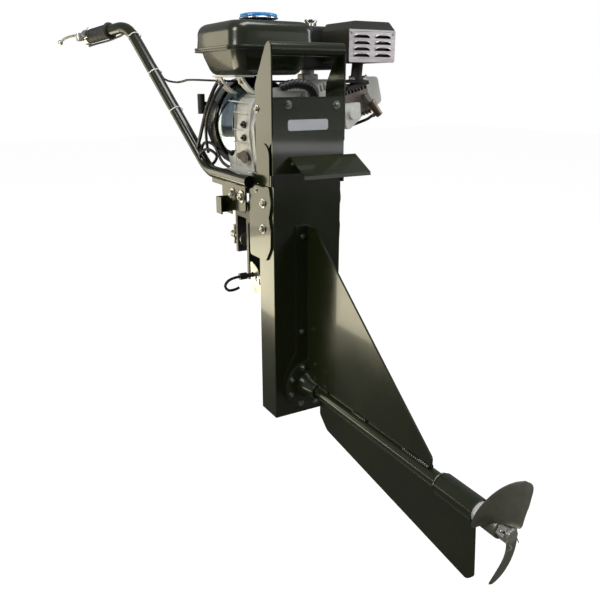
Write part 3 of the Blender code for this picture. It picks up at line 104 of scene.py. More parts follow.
add_lamp("port_card", (-1.35, 1.95, 0.12), (-0.1, -0.1, 0.1), 1.1, 1.3, 9, (1.0, 0.91, 0.66))
add_lamp(
    "floor_card", (-0.95, 0.92, FLOOR_Z + 0.01), (-0.95, 0.92, 2.0), 0.9, 1.75, 22, (1.0, 0.92, 0.66),
)
add_lamp("low_strip", (1.35, -2.65, -0.08), (0.0, -0.2, 0.2), 2.2, 0.06, 2.0, (1.0, 1.0, 1.0))
add_lamp("aft_card", (1.75, -2.75, 0.66), (0.1, -0.2, 0.4), 1.2, 0.40, 1.6, (1.0, 0.98, 0.97))
add_lamp("top_box", (0.2, -0.7, 2.6), (0.0, -0.1, 0.0), 1.6, 1.2, 44, (1.0, 1.0, 1.0))
add_lamp("starboard_fill", (2.4, -1.2, 1.0), (0.1, -0.1, 0.2), 1.0, 1.4, 26, (0.97, 0.99, 1.0))
add_lamp("port_key", (-2.6, -0.7, 1.5), (0.0, 0.1, 0.2), 1.0, 1.2, 46, (1.0, 0.98, 0.94))

SKY_SEEN = 1.0
SKY_FELT = 0.24
world = bpy.data.worlds.new("studio")
bpy.context.scene.world = world
world.use_nodes = True
sky = world.node_tree
sky.nodes.clear()
eye = sky.nodes.new("ShaderNodeLightPath")
seen = sky.nodes.new("ShaderNodeBackground")
seen.inputs["Color"].default_value = (1.0, 1.0, 1.0, 1.0)
seen.inputs["Strength"].default_value = SKY_SEEN
felt = sky.nodes.new("ShaderNodeBackground")
felt.inputs["Color"].default_value = (0.95, 0.98, 1.0, 1.0)
felt.inputs["Strength"].default_value = SKY_FELT
choice = sky.nodes.new("ShaderNodeMixShader")
out = sky.nodes.new("ShaderNodeOutputWorld")
sky.links.new(eye.outputs["Is Camera Ray"], choice.inputs["Fac"])
sky.links.new(felt.outputs["Background"], choice.inputs[1])
sky.links.new(seen.outputs["Background"], choice.inputs[2])
sky.links.new(choice.outputs["Shader"], out.inputs["Surface"])

FLOOR_REACH = 9.0
FLOOR_GLOW = 0.95
floor_mesh = bpy.data.meshes.new("floor")
floor_mesh.from_pydata(
    [(x * FLOOR_REACH, y * FLOOR_REACH, FLOOR_Z) for x, y in ((-1, -1), (1, -1), (1, 1), (-1, 1))],
    [],
    [(0, 1, 2, 3)],
)
floor = bpy.data.objects.new("floor", floor_mesh)
bpy.context.scene.collection.objects.link(floor)
floor_finish = bpy.data.materials.new("pale floor")
floor_finish.use_nodes = True
floor_tree = floor_finish.node_tree
floor_shader = floor_tree.nodes["Principled BSDF"]
floor_shader.inputs["Base Color"].default_value = (0.14, 0.14, 0.13, 1.0)
floor_shader.inputs["Roughness"].default_value = 0.9
floor_shader.inputs["Specular IOR Level"].default_value = 0.0
floor_shader.inputs["Emission Color"].default_value = (1.0, 1.0, 1.0, 1.0)
floor_eye = floor_tree.nodes.new("ShaderNodeLightPath")
floor_lift = floor_tree.nodes.new("ShaderNodeMath")
floor_lift.operation = "MULTIPLY"
floor_lift.inputs[1].default_value = FLOOR_GLOW
floor_tree.links.new(floor_eye.outputs["Is Camera Ray"], floor_lift.inputs[0])
floor_tree.links.new(floor_lift.outputs["Value"], floor_shader.inputs["Emission Strength"])
floor_mesh.materials.append(floor_finish)


# Painted steel: the leg, its cover, the fins, the brackets and the tiller are cut and folded from
# plate, welded, and sprayed a very dark glossy green that shows faint orange peel and dull dust.
def blank_group(name, inputs, outputs):
    """An empty node group with its sockets made, and its two end nodes."""
    group = bpy.data.node_groups.new(name, "ShaderNodeTree")
    for label, kind in inputs:
        group.interface.new_socket(name=label, in_out="INPUT", socket_type=kind)
    for label, kind in outputs:
        group.interface.new_socket(name=label, in_out="OUTPUT", socket_type=kind)
    return group, group.nodes.new("NodeGroupInput"), group.nodes.new("NodeGroupOutput")


GRAIN_HEIGHT = 0.0006


def finish_group():
    """Noise in the mesh's own space at two sizes.

    The broad one mixes the two colours and sets the roughness, the fine one raises the grain.
    """
    group, given, result = blank_group(
        "surface finish",
        [
            ("Colour", "NodeSocketColor"),
            ("Second Colour", "NodeSocketColor"),
            ("Patch Scale", "NodeSocketFloat"),
            ("Grain Scale", "NodeSocketFloat"),
            ("Stretch", "NodeSocketVector"),
            ("Smoothest", "NodeSocketFloat"),
            ("Roughest", "NodeSocketFloat"),
            ("Relief", "NodeSocketFloat"),
        ],
        [
            ("Colour", "NodeSocketColor"), ("Roughness", "NodeSocketFloat"),
            ("Normal", "NodeSocketVector"),
        ],
    )
    link = group.links.new
    place = group.nodes.new("ShaderNodeTexCoord")
    pull = group.nodes.new("ShaderNodeVectorMath")
    pull.operation = "MULTIPLY"
    link(place.outputs["Object"], pull.inputs[0])
    link(given.outputs["Stretch"], pull.inputs[1])
    patch = group.nodes.new("ShaderNodeTexNoise")
    patch.inputs["Detail"].default_value = 5.0
    patch.inputs["Roughness"].default_value = 0.62
    link(pull.outputs["Vector"], patch.inputs["Vector"])
    link(given.outputs["Patch Scale"], patch.inputs["Scale"])
    grain = group.nodes.new("ShaderNodeTexNoise")
    grain.inputs["Detail"].default_value = 3.0
    link(pull.outputs["Vector"], grain.inputs["Vector"])
    link(given.outputs["Grain Scale"], grain.inputs["Scale"])
    spread = group.nodes.new("ShaderNodeMapRange")
    spread.inputs["From Min"].default_value = 0.38
    spread.inputs["From Max"].default_value = 0.66
    link(patch.outputs["Fac"], spread.inputs["Value"])
    blend = group.nodes.new("ShaderNodeMix")
    blend.data_type = "RGBA"
    link(spread.outputs["Result"], blend.inputs["Factor"])
    link(given.outputs["Colour"], blend.inputs["A"])
    link(given.outputs["Second Colour"], blend.inputs["B"])
    gloss = group.nodes.new("ShaderNodeMapRange")
    gloss.inputs["From Min"].default_value = 0.3
    gloss.inputs["From Max"].default_value = 0.7
    link(patch.outputs["Fac"], gloss.inputs["Value"])
    link(given.outputs["Smoothest"], gloss.inputs["To Min"])
    link(given.outputs["Roughest"], gloss.inputs["To Max"])
    bump = group.nodes.new("ShaderNodeBump")
    bump.inputs["Distance"].default_value = GRAIN_HEIGHT
    link(given.outputs["Relief"], bump.inputs["Strength"])
    link(grain.outputs["Fac"], bump.inputs["Height"])
    link(blend.outputs["Result"], result.inputs["Colour"])
    link(gloss.outputs["Result"], result.inputs["Roughness"])
    link(bump.outputs["Normal"], result.inputs["Normal"])
    return group


FINISH = finish_group()
COAT_ROUGHNESS = 0.06


def make_finish(
    name, colour, second, metallic, smoothest, roughest,
    patch=9.0, grain=260.0, stretch=(1.0, 1.0, 1.0), relief=0.15, coat=0.0, sheen=0.0,
):
    """A Principled material fed by the shared finish group."""
    material = bpy.data.materials.new(name)
    material.use_nodes = True
    tree = material.node_tree
    shader = tree.nodes["Principled BSDF"]
    shader.inputs["Metallic"].default_value = metallic
    shader.inputs["Coat Weight"].default_value = coat
    shader.inputs["Coat Roughness"].default_value = COAT_ROUGHNESS
    shader.inputs["Sheen Weight"].default_value = sheen
    group = tree.nodes.new("ShaderNodeGroup")
    group.node_tree = FINISH
    group.name = "finish"
    group.inputs["Colour"].default_value = (*colour, 1.0)
    group.inputs["Second Colour"].default_value = (*second, 1.0)
    group.inputs["Patch Scale"].default_value = patch
    group.inputs["Grain Scale"].default_value = grain
    group.inputs["Stretch"].default_value = stretch
    group.inputs["Smoothest"].default_value = smoothest
    group.inputs["Roughest"].default_value = roughest
    group.inputs["Relief"].default_value = relief
    tree.links.new(group.outputs["Colour"], shader.inputs["Base Color"])
    tree.links.new(group.outputs["Roughness"], shader.inputs["Roughness"])
    tree.links.new(group.outputs["Normal"], shader.inputs["Normal"])
    return material


CAD_SEAM = 0.00001
body_of = {
    node: body for body, members in frame["record"]["behaviour"]["bodies"].items() for node in members
}


def stand_for(name, material):
    """The piece takes the CAD node's place, and the hidden node takes the piece's finish."""
    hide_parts(name)
    nodes[name].data.materials.clear()
    nodes[name].data.materials.append(material)


def dress(names, material, crease=38.0):
    """A sewn copy of each CAD mesh, with its round sides shaded smooth, stands for the loose one."""
    for name in names.split():
        sewn = bmesh.new()
        sewn.from_mesh(nodes[name].data)
        bmesh.ops.remove_doubles(sewn, verts=sewn.verts, dist=CAD_SEAM)
        mesh = bpy.data.meshes.new(name + "_finish")
        sewn.to_mesh(mesh)
        sewn.free()
        if "custom_normal" in mesh.attributes:
            mesh.attributes.remove(mesh.attributes["custom_normal"])
        mesh.materials.clear()
        mesh.materials.append(material)
        mesh.shade_smooth()
        mesh.set_sharp_from_angle(angle=math.radians(crease))
        piece = bpy.data.objects.new(name + "_finish", mesh)
        bpy.context.scene.collection.objects.link(piece)
        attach(piece, body_of[name])
        stand_for(name, material)


green_paint = make_finish(
    "dark green gloss paint", (0.0090, 0.0125, 0.0030), (0.0125, 0.0170, 0.0045), 0.0, 0.16, 0.28,
    patch=5.0, grain=60.0, relief=0.04, coat=0.45,
)
dress(
    "leg_casing belt_cover splash_plate steering_bracket engine_bed trim_plate "
    "bearing_flange shaft_tube fin skeg tiller_tube",
    green_paint,
)

# The shaft datum is where the propeller shaft leaves the leg's aft face. Every place below is
# measured from it, and it is found from the leg's own box.
LEG_FOOT_BELOW_SHAFT = 0.069
leg_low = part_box("leg_casing")[0]
datum = np.array([0.0, leg_low.y, leg_low.z + LEG_FOOT_BELOW_SHAFT])


def at(*place):
    """A place in metres to starboard, forward and up of the datum."""
    return datum + np.array(place, float)


# Doubler plate and weld beads. The doubler is a flat plate under the bearing flange, arched at
# its top. The beads are hand-run fillets, each a row of overlapping ripples.
def grid_faces(rows, columns, wrap=True):
    """Quads between neighbouring points of a rows by columns grid, closed round the columns or not."""
    row = np.arange(rows - 1)[:, None]
    column = np.arange(columns if wrap else columns - 1)[None, :]
    after = (column + 1) % columns
    here = row * columns
    beyond = (row + 1) * columns
    corners = [here + column, here + after, beyond + after, beyond + column]
    quads = np.stack([np.broadcast_to(c, (rows - 1, column.size)) for c in corners], -1)
    return quads.reshape(-1, 4).tolist()


SEAM = 0.000002


def add_piece(name, body, patches, material, crease=38.0):
    """One mesh from several (points, faces) patches, sewn where they meet, faces pointing out."""
    points = []
    faces = []
    for places, corners in patches:
        start = len(points)
        points += places.reshape(-1, 3).tolist()
        faces += [[corner + start for corner in face] for face in corners]
    mesh = bpy.data.meshes.new(name)
    mesh.from_pydata(points, [], faces)
    sewn = bmesh.new()
    sewn.from_mesh(mesh)
    bmesh.ops.remove_doubles(sewn, verts=sewn.verts, dist=SEAM)
    bmesh.ops.recalc_face_normals(sewn, faces=sewn.faces)
    sewn.to_mesh(mesh)
    sewn.free()
    mesh.materials.append(material)
    mesh.shade_smooth()
    mesh.set_sharp_from_angle(angle=math.radians(crease))
    piece = bpy.data.objects.new(name, mesh)
    bpy.context.scene.collection.objects.link(piece)
    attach(piece, body)
    return piece


def turned(profile, sides=32):
    """A profile of (radius, height) carried round the local Z axis; a zero radius closes a pole."""
    profile = np.asarray(profile, float)
    turn = np.linspace(0, 2 * np.pi, sides, endpoint=False)
    radius = profile[:, :1]
    height = np.broadcast_to(profile[:, 1:], (len(profile), sides))
    points = np.stack([radius * np.cos(turn), radius * np.sin(turn), height], -1)
    return points, grid_faces(len(profile), sides)


def facing(points, place, axis, roll=0.0):
    """Local points turned so that their Z axis points along the given axis, then moved to the place."""
    axis = np.asarray(axis, float)
    axis = axis / np.linalg.norm(axis)
    helper = np.array([0.0, 0.0, 1.0]) if abs(axis[2]) < 0.9 else np.array([1.0, 0.0, 0.0])
    side = np.cross(helper, axis)
    side /= np.linalg.norm(side)
    up = np.cross(axis, side)
    rolled_side = side * math.cos(roll) + up * math.sin(roll)
    rolled_up = up * math.cos(roll) - side * math.sin(roll)
    return points @ np.stack([rolled_side, rolled_up, axis]) + np.asarray(place)


def lathe(profile, place, axis, sides=32):
    """A turned profile set down at a place, with its own Z axis along the given one."""
    points, faces = turned(profile, sides)
    return facing(points, place, axis), faces


def swept(path, radius, sides=12):
    """A round section carried along a path, drawn to a point at both ends; radius may vary along it."""
    path = np.asarray(path, float)
    radius = np.broadcast_to(np.asarray(radius, float), len(path))
    path = np.concatenate([path[:1], path, path[-1:]])
    radius = np.concatenate([[0.0], radius, [0.0]])
    along = np.gradient(path, axis=0)
    along[0], along[-1] = along[1], along[-2]
    along /= np.maximum(np.linalg.norm(along, axis=1, keepdims=True), 1e-9)
    helper = np.eye(3)[np.argmin(np.abs(along.mean(0)))]
    side = np.cross(along, helper)
    side /= np.linalg.norm(side, axis=1, keepdims=True)
    up = np.cross(side, along)
    turn = np.linspace(0, 2 * np.pi, sides, endpoint=False)
    ring = np.cos(turn)[None, :, None] * side[:, None] + np.sin(turn)[None, :, None] * up[:, None]
    return path[:, None] + ring * radius[:, None, None], grid_faces(len(path), sides)


def prism(outline, low, high, lay):
    """A flat outline given thickness: lay turns (across, up, depth) columns into world axes."""
    outline = np.asarray(outline, float)
    count = len(outline)
    sheets = [lay(np.column_stack([outline, np.full(count, depth)])) for depth in (low, high)]
    middle = [sheet.mean(0, keepdims=True) for sheet in sheets]
    points = np.concatenate([sheets[0], sheets[1], middle[0], middle[1]])
    index = np.arange(count)
    after = (index + 1) % count
    walls = np.stack([index, after, after + count, index + count], -1).tolist()
    ends = [[a, b, 2 * count] for a, b in zip(index.tolist(), after.tolist())]
    ends += [[a + count, b + count, 2 * count + 1] for a, b in zip(index.tolist(), after.tolist())]
    return points, walls + ends


def smooth_path(points, count=60):
    """A natural curve through the given points: cubic blends of each run's ends and slopes."""
    points = np.asarray(points, float)
    knots = np.arange(len(points))
    slopes = np.gradient(points, axis=0)
    t = np.linspace(0, len(points) - 1, count)
    k = np.minimum(t.astype(int), len(points) - 2)
    f = (t - knots[k])[:, None]
    a, b, ma, mb = points[k], points[k + 1], slopes[k], slopes[k + 1]
    ends = a * (1 - f) ** 2 * (1 + 2 * f) + b * f ** 2 * (3 - 2 * f)
    return ends + ma * f * (1 - f) ** 2 - mb * f ** 2 * (1 - f) + datum


def on_aft_face(columns):
    """(x, z, depth aft) columns, measured from the datum."""
    return np.column_stack([columns[:, 0], -columns[:, 2], columns[:, 1]]) + datum


turn = np.linspace(0, 2 * np.pi, 64, endpoint=False)
arch = np.maximum(np.sin(turn), 0.0)
DOUBLER_RADIUS = 0.0615
DOUBLER_ARCH = 0.041
doubler_x = DOUBLER_RADIUS * np.cos(turn) * (1 - 0.25 * arch ** 4)
doubler_z = DOUBLER_RADIUS * np.sin(turn) + DOUBLER_ARCH * arch ** 2
doubler = np.column_stack([doubler_x, doubler_z])
add_piece(
    "doubler_plate", "motor", [prism(doubler, 0.0002, 0.0034, on_aft_face)], green_paint,
    38.0,
)


def bead(start, end, radius=0.0020, pitch=0.0034):
    """A weld fillet: a straight sweep whose radius rises and falls once for each ripple."""
    length = np.linalg.norm(np.subtract(end, start))
    steps = max(8, int(length / pitch * 5))
    share = np.linspace(0, 1, steps)
    path = np.outer(1 - share, start) + np.outer(share, end)
    ripple = np.abs(np.sin(share * length / pitch * np.pi))
    return swept(path, radius * (0.80 + 0.28 * ripple), 8)


def ring_bead(y, ring_radius, radius=0.0022, ripples=40):
    """A weld run round the shaft tube at one place along it."""
    around = np.linspace(0, 2 * np.pi, ripples * 4 + 1)
    along = np.full(around.size, y)
    path = np.stack([ring_radius * np.cos(around), along, ring_radius * np.sin(around)], -1) + datum
    return swept(path, radius * (0.8 + 0.28 * np.abs(np.sin(around * ripples / 2))), 8)


add_piece(
    "weld_beads",
    "motor",
    [
        *[
            bead(at(side * 0.0036, start, 0.0150), at(side * 0.0036, end, 0.0150), 0.0032, 0.0052)
            for side in (-1, 1)
            for start, end in ((-0.056, -0.096), (-0.190, -0.236), (-0.352, -0.424))
        ],
        bead(at(0.0034, -0.062, -0.0145), at(0.0034, -0.446, -0.0145)),
        bead(at(-0.0034, -0.062, -0.0145), at(-0.0034, -0.446, -0.0145)),
        bead(at(0.0030, -0.460, -0.0222), at(0.0030, -0.536, -0.0222)),
        bead(at(-0.0030, -0.460, -0.0222), at(-0.0030, -0.536, -0.0222)),
        ring_bead(-0.0505, 0.0165),
        ring_bead(-0.4515, 0.0165),
    ],
    green_paint,
)

# Rolled edge along the cover's top, and the bend where the splash plate leaves its flange. Both
# are part of the folded sheet, and are painted with it.
fillet = np.linspace(0, np.pi / 2, 10)
FILLET_RADIUS = 0.0075
fillet_y = -0.0080 - FILLET_RADIUS * (1 - np.sin(fillet[::-1]))
fillet_z = 0.4745 + FILLET_RADIUS * (1 - np.cos(fillet[::-1]))
outline = np.column_stack([fillet_y, fillet_z])
outline = np.vstack([outline, [-0.0075, outline[-1, 1]], [-0.0075, 0.4725], [outline[0, 0], 0.4725]])


def across_motor(columns):
    """Lays (y, z, x) columns as points of the motor."""
    return np.column_stack([columns[:, 2], columns[:, 0], columns[:, 1]]) + datum


add_piece(
    "splash_bend", "motor", [prism(outline, -0.044, 0.079, across_motor)], green_paint,
    50.0,
)
add_piece(
    "cover_edge", "motor", [swept([at(x, -0.0030, 0.6168) for x in (-0.080, 0.0, 0.080)], 0.0016, 12)],
    green_paint, 60.0,
)

# Ear doublers: a round-topped steel plate welded outside each cover ear, where the bracket meets
# it, and painted with the leg.
def on_side(side, face):
    """Lays (y, z, depth) columns on the outer face of one side of the cover."""

    def lay(columns):
        out = side * (face + columns[:, 2])
        return np.column_stack([out, columns[:, 0], columns[:, 1]]) + datum

    return lay


dome = np.linspace(0, np.pi, 24)
tab_outline = np.column_stack([0.030 - 0.026 * np.cos(dome), 0.504 + 0.026 * np.sin(dome)])
tab_outline = np.vstack([[0.004, 0.449], tab_outline, [0.056, 0.449]])
for side_name, side in (("port", -1), ("starboard", 1)):
    add_piece(
        "ear_doubler_" + side_name, "motor", [prism(tab_outline, 0.0, 0.0022, on_side(side, 0.0846))],
        green_paint, 38.0,
    )

# Fasteners: plated hex bolts over plain washers, dome-ended where they hold thin sheet, and one
# bigger pair on the trim plate. Each row below is one set: its places, its way out, its size.
zinc = make_finish(
    "bright zinc plate", (0.62, 0.60, 0.55), (0.42, 0.41, 0.37), 1.0, 0.22, 0.42,
    patch=40.0, grain=900.0, relief=0.12,
)


dull_bolt = make_finish(
    "half-painted bolt", (0.30, 0.31, 0.27), (0.06, 0.07, 0.05), 0.9, 0.22, 0.40,
    patch=120.0, grain=700.0, relief=0.15,
)


def hex_bolt(size):
    """Washer, six-sided head with a turned-down crown, and a short dome, all about the local Z axis."""
    washer = turned(
        [
            (0, 0), (1.75 * size, 0), (1.80 * size, 0.10 * size), (1.75 * size, 0.25 * size),
            (0, 0.25 * size),
        ],
        24,
    )
    flank = [(0, 0.2 * size), (1.12 * size, 0.2 * size), (1.12 * size, 0.85 * size)]
    head = turned(flank + [(0.98 * size, 1.0 * size), (0, 1.02 * size)], 6)
    dome = turned(
        [
            (0, 0.95 * size), (0.62 * size, 0.95 * size), (0.60 * size, 1.15 * size),
            (0.42 * size, 1.34 * size), (0, 1.42 * size),
        ],
        16,
    )
    return [washer, head, dome]


ROLL_STEP = 0.7


def add_bolts(name, body, places, axis, size, material=zinc):
    """A bolt at each place, each rolled a little further round than the one before."""
    patches = []
    for index, place in enumerate(places):
        for points, faces in hex_bolt(size):
            patches.append((facing(points, at(*place), axis, ROLL_STEP * index), faces))
    return add_piece(name, body, patches, material, 30.0)


AFT, PORT, STARBOARD, FORE, UP = (0, -1, 0), (-1, 0, 0), (1, 0, 0), (0, 1, 0), (0, 0, 1)
flange_turns = np.radians(20 + 45 * np.arange(8))
add_bolts(
    "flange_bolts", "motor",
    [(0.047 * math.cos(a), -0.0083, 0.047 * math.sin(a)) for a in flange_turns], AFT, 0.0040, dull_bolt,
)
add_bolts(
    "fin_bolts", "motor", [(-0.014, -0.0040, 0.340), (-0.017, -0.0040, 0.128)], AFT, 0.0034, dull_bolt,
)
add_bolts(
    "cover_bolts", "motor", [(-0.047, -0.0040, 0.604), (0.064, -0.0040, 0.602)], AFT, 0.0046, dull_bolt,
)
add_bolts(
    "splash_bolts", "motor", [(-0.040, -0.0073, 0.491), (-0.030, -0.0073, 0.490)], AFT, 0.0022,
    dull_bolt,
)
add_bolts("ear_bolt_port", "motor", [(-0.0845, 0.059, 0.595)], PORT, 0.0046)
add_bolts("ear_bolt_starboard", "motor", [(0.0845, 0.059, 0.595)], STARBOARD, 0.0046)
side_bolts = [(0.038, 0.409), (0.040, 0.355)]
add_bolts("bracket_bolts_port", "motor", [(-0.0843, y, z) for y, z in side_bolts], PORT, 0.0058)
add_bolts(
    "bracket_bolts_starboard", "motor", [(0.0843, y, z) for y, z in side_bolts], STARBOARD, 0.0058,
)
add_bolts("bracket_screw_port", "motor", [(-0.0843, 0.070, 0.432)], PORT, 0.0030)
add_bolts("bracket_screw_starboard", "motor", [(0.0843, 0.070, 0.432)], STARBOARD, 0.0030)
add_bolts("trim_plate_bolts", "motor", [(-0.0900, 0.130, 0.410), (-0.0900, 0.176, 0.409)], PORT, 0.0078)
add_bolts(
    "foot_bolts", "motor",
    [(x, y, 0.4620) for x in (-0.0725, 0.0765) for y in (0.122, 0.222)],
    UP, 0.0030,
)

# The tiller: a bent steel tube with its grip, throttle perch, lever and cable. White nylon ties
# hold the cable to the tube, with their clipped heads turned to port.
TILLER_CORNER = np.array([-0.100, 0.285, 0.450])
TILLER_BEND = np.array([-0.187, 0.565, 0.778])
TILLER_END = np.array([-0.250, 0.735, 0.757])
rise = (TILLER_BEND - TILLER_CORNER) / np.linalg.norm(TILLER_BEND - TILLER_CORNER)
reach = (TILLER_END - TILLER_BEND) / np.linalg.norm(TILLER_END - TILLER_BEND)
across = np.cross(reach, (0, 0, 1))
across /= np.linalg.norm(across)

nylon = make_finish(
    "white nylon", (0.78, 0.78, 0.74), (0.66, 0.66, 0.62), 0.0, 0.35, 0.5,
    patch=60.0, grain=600.0, relief=0.05,
)


def tie(place):
    """A flat band round the tube, bulged where the cable lies beside it, and a small square head."""
    turn = np.linspace(0, 2 * np.pi, 48, endpoint=False)
    bulge = np.where(np.cos(turn) > 0.8, 0.0170 * np.cos(turn) + 0.0031, 0.0)
    outer = np.maximum(0.01415, bulge)
    side = across - rise * np.dot(across, rise)
    side /= np.linalg.norm(side)
    up = np.cross(rise, side)
    ring = np.cos(turn)[:, None] * side + np.sin(turn)[:, None] * up
    section = [
        (outer, -0.0013), (outer, 0.0013), (outer - 0.0008, 0.0013), (outer - 0.0008, -0.0013),
        (outer, -0.0013),
    ]
    rows = [place + ring * radius[:, None] + rise * shift for radius, shift in section]
    head = lathe([(0, 0), (0.0022, 0), (0.0022, 0.0032), (0, 0.0032)], place - side * 0.0138, -side, 4)
    return [(np.stack(rows), grid_faces(5, 48)), head]


rise_length = np.linalg.norm(TILLER_BEND - TILLER_CORNER)
tie_places = [datum + TILLER_CORNER + rise * rise_length * share for share in (0.92, 0.66, 0.40)]
ties = [patch for place in tie_places for patch in tie(place)]
add_piece("cable_ties", "motor", ties, nylon)

grip_rubber = make_finish(
    "ribbed grip rubber", (0.010, 0.010, 0.010), (0.018, 0.018, 0.017), 0.0, 0.55, 0.75,
    patch=30.0, grain=700.0, relief=0.35, sheen=0.1,
)
grip_length = 0.0895
ribs = np.linspace(0, 1, 130)
inner_flange = 0.0034 * np.exp(-(((ribs - 0.05) / 0.035) ** 2))
swell = 0.0166 + 0.0009 * np.abs(np.sin(ribs * 17 * np.pi)) + inner_flange
grip_profile = np.column_stack([swell, ribs * grip_length])
grip_profile = np.vstack([[0.01425, 0.0], grip_profile, [0.01425, grip_length], [0.01425, 0.0]])
grip_start = datum + TILLER_END - reach * 0.110
grip = add_piece(
    "ribbed_grip", "motor", [lathe(grip_profile, grip_start, reach, 40)], grip_rubber, 50.0
)
stand_for("tiller_grip", grip_rubber)

cast_bright = make_finish(
    "cast lever metal", (0.66, 0.65, 0.62), (0.50, 0.49, 0.47), 1.0, 0.28, 0.45,
    patch=30.0, grain=700.0, relief=0.2,
)
dress("lever_perch", cast_bright)
steel = make_finish(
    "satin stainless steel", (0.66, 0.65, 0.62), (0.50, 0.49, 0.46), 0.85, 0.24, 0.38,
    patch=25.0, grain=800.0, relief=0.08,
)
dress("throttle_lever", steel)
cable_black = make_finish(
    "black cable sheath", (0.012, 0.012, 0.012), (0.020, 0.020, 0.020), 0.0, 0.34, 0.5,
    patch=40.0, grain=500.0, relief=0.1,
)
dress("throttle_cable", cable_black, 60.0)
perch_bolt = datum + TILLER_END - reach * 0.011 + np.array([0, 0, 0.0190])
bolt_patches = [(facing(p, perch_bolt, UP), f) for p, f in hex_bolt(0.0030)]
barrel = [
    (0, 0), (0.0034, 0), (0.0040, 0.002), (0.0040, 0.009), (0.0030, 0.011), (0.0030, 0.018), (0, 0.018),
]
barrel_place = datum + TILLER_END - reach * 0.0205 - across * 0.0215 - np.array([0, 0, 0.004])
bolt_patches.append(lathe(barrel, barrel_place, -reach, 16))
add_piece("perch_fittings", "motor", bolt_patches, zinc)

# The propeller: two broad blades and a short hub, cast in one piece and left with a dull bronze-grey
# skin. The blades repeat the frame's helix on a finer grid, with rounded edges and a root fillet.
propeller_skin = make_finish(
    "dull cast propeller", (0.190, 0.195, 0.150), (0.270, 0.255, 0.215), 0.75, 0.34, 0.50,
    patch=22.0, grain=420.0, relief=0.22,
)
PITCH = 0.142
BLADE_TURN = 2.251
BLADE_ROOT = 0.0163
BLADE_TIP = 0.0865
BLADE_CHORD = 0.1015
BLADE_Y = -0.5890


def blade(extra_turn, rows=48, columns=28):
    """Chords of a helix: t runs from root to tip and u across the chord; both faces share the rim.

    The chord swells from the root and closes in a round tip, its middle sweeps back with t and t
    squared, and the section is an ellipse that thins outwards, with a fillet at the root.
    """
    t = np.linspace(0, 1, rows)[:, None]
    u = np.cos(np.linspace(np.pi, 0, columns))[None, :] / 2
    radius = BLADE_ROOT + (BLADE_TIP - BLADE_ROOT) * t
    slim = np.clip(1 - np.clip((t - 0.42) / 0.58, 0, 1) ** 2.1, 0, 1)
    swell = 0.72 + 0.28 * np.sin(np.minimum(1, 1.7 * t) * np.pi / 2)
    chord = np.maximum(BLADE_CHORD * np.sqrt(slim) * swell, 0.004)
    pitch_angle = np.arctan2(PITCH, 2 * np.pi * radius)
    sweep = 0.334 * t + 0.628 * t * t
    angle = BLADE_TURN + extra_turn - sweep + u * chord * np.cos(pitch_angle) / np.maximum(
        radius, 0.020,
    )
    middle = BLADE_Y - 0.0146 * t ** 1.5 + u * chord * np.sin(pitch_angle)
    ellipse = np.sqrt(np.clip(1 - (2 * u) ** 2, 0, 1))
    thick = (0.0046 * (1 - 0.55 * t) + 0.0035 * np.exp(-t / 0.05)) * ellipse
    sheets = []
    for side in (0.5, -0.5):
        y = middle + side * thick
        sheets.append(np.stack([radius * np.cos(angle), y, radius * np.sin(angle)], -1) + datum)
    front, back = sheets
    loop = np.concatenate([front, back[:, ::-1]], 1)
    tip = np.repeat(loop[-1:].mean(1, keepdims=True), loop.shape[1], 1)
    root = np.repeat(loop[:1].mean(1, keepdims=True), loop.shape[1], 1)
    loop = np.concatenate([root, loop, tip])
    return loop, grid_faces(loop.shape[0], loop.shape[1])


hub_profile = [
    (0.0105, 0), (0.0165, 0), (0.0178, 0.0012), (0.0180, 0.0030), (0.0180, 0.0335), (0.0176, 0.0352),
    (0.0164, 0.0365), (0.0105, 0.0365), (0.0105, 0),
]
propeller = add_piece(
    "propeller_casting", "propeller",
    [blade(0.0), blade(math.pi), lathe(hub_profile, at(0, -0.5560, 0), AFT, 48)],
    propeller_skin, 60.0,
)
stand_for("propeller", propeller_skin)
dress("propeller_nut propeller_shaft", steel)
bright_collar = make_finish(
    "turned bright collar", (0.86, 0.85, 0.82), (0.74, 0.73, 0.70), 0.55, 0.22, 0.34,
    patch=30.0, grain=600.0, relief=0.06,
)
dress("thrust_collar", bright_collar)
dress("cotter_pin", zinc)
THREAD_START = 0.6075
THREAD_STEP = 0.00052
thread_steps = np.arange(0, 11)
crests = np.where(thread_steps % 2 == 0, 0.01035, 0.0097)
thread = np.column_stack([crests, THREAD_START + thread_steps * THREAD_STEP])
thread = np.vstack([[0.0, thread[0, 1]], thread, [0.0, thread[-1, 1] + 0.0006]])
add_piece("shaft_thread", "propeller", [lathe(thread, at(0, 0, 0), AFT)], steel, 30.0)
leg_end = at(0, -0.6025, 0) + 0.0172 * np.array([math.sin(math.radians(60)), 0, -0.5])
splay = []
for spread in (-0.003, 0.003):
    knee = leg_end + np.array([0.003, spread, -0.006])
    foot = leg_end + np.array([0.004, 2.2 * spread, -0.012])
    splay.append(swept([leg_end, knee, foot], 0.0009, 8))
add_piece("cotter_legs", "propeller", splay, zinc)
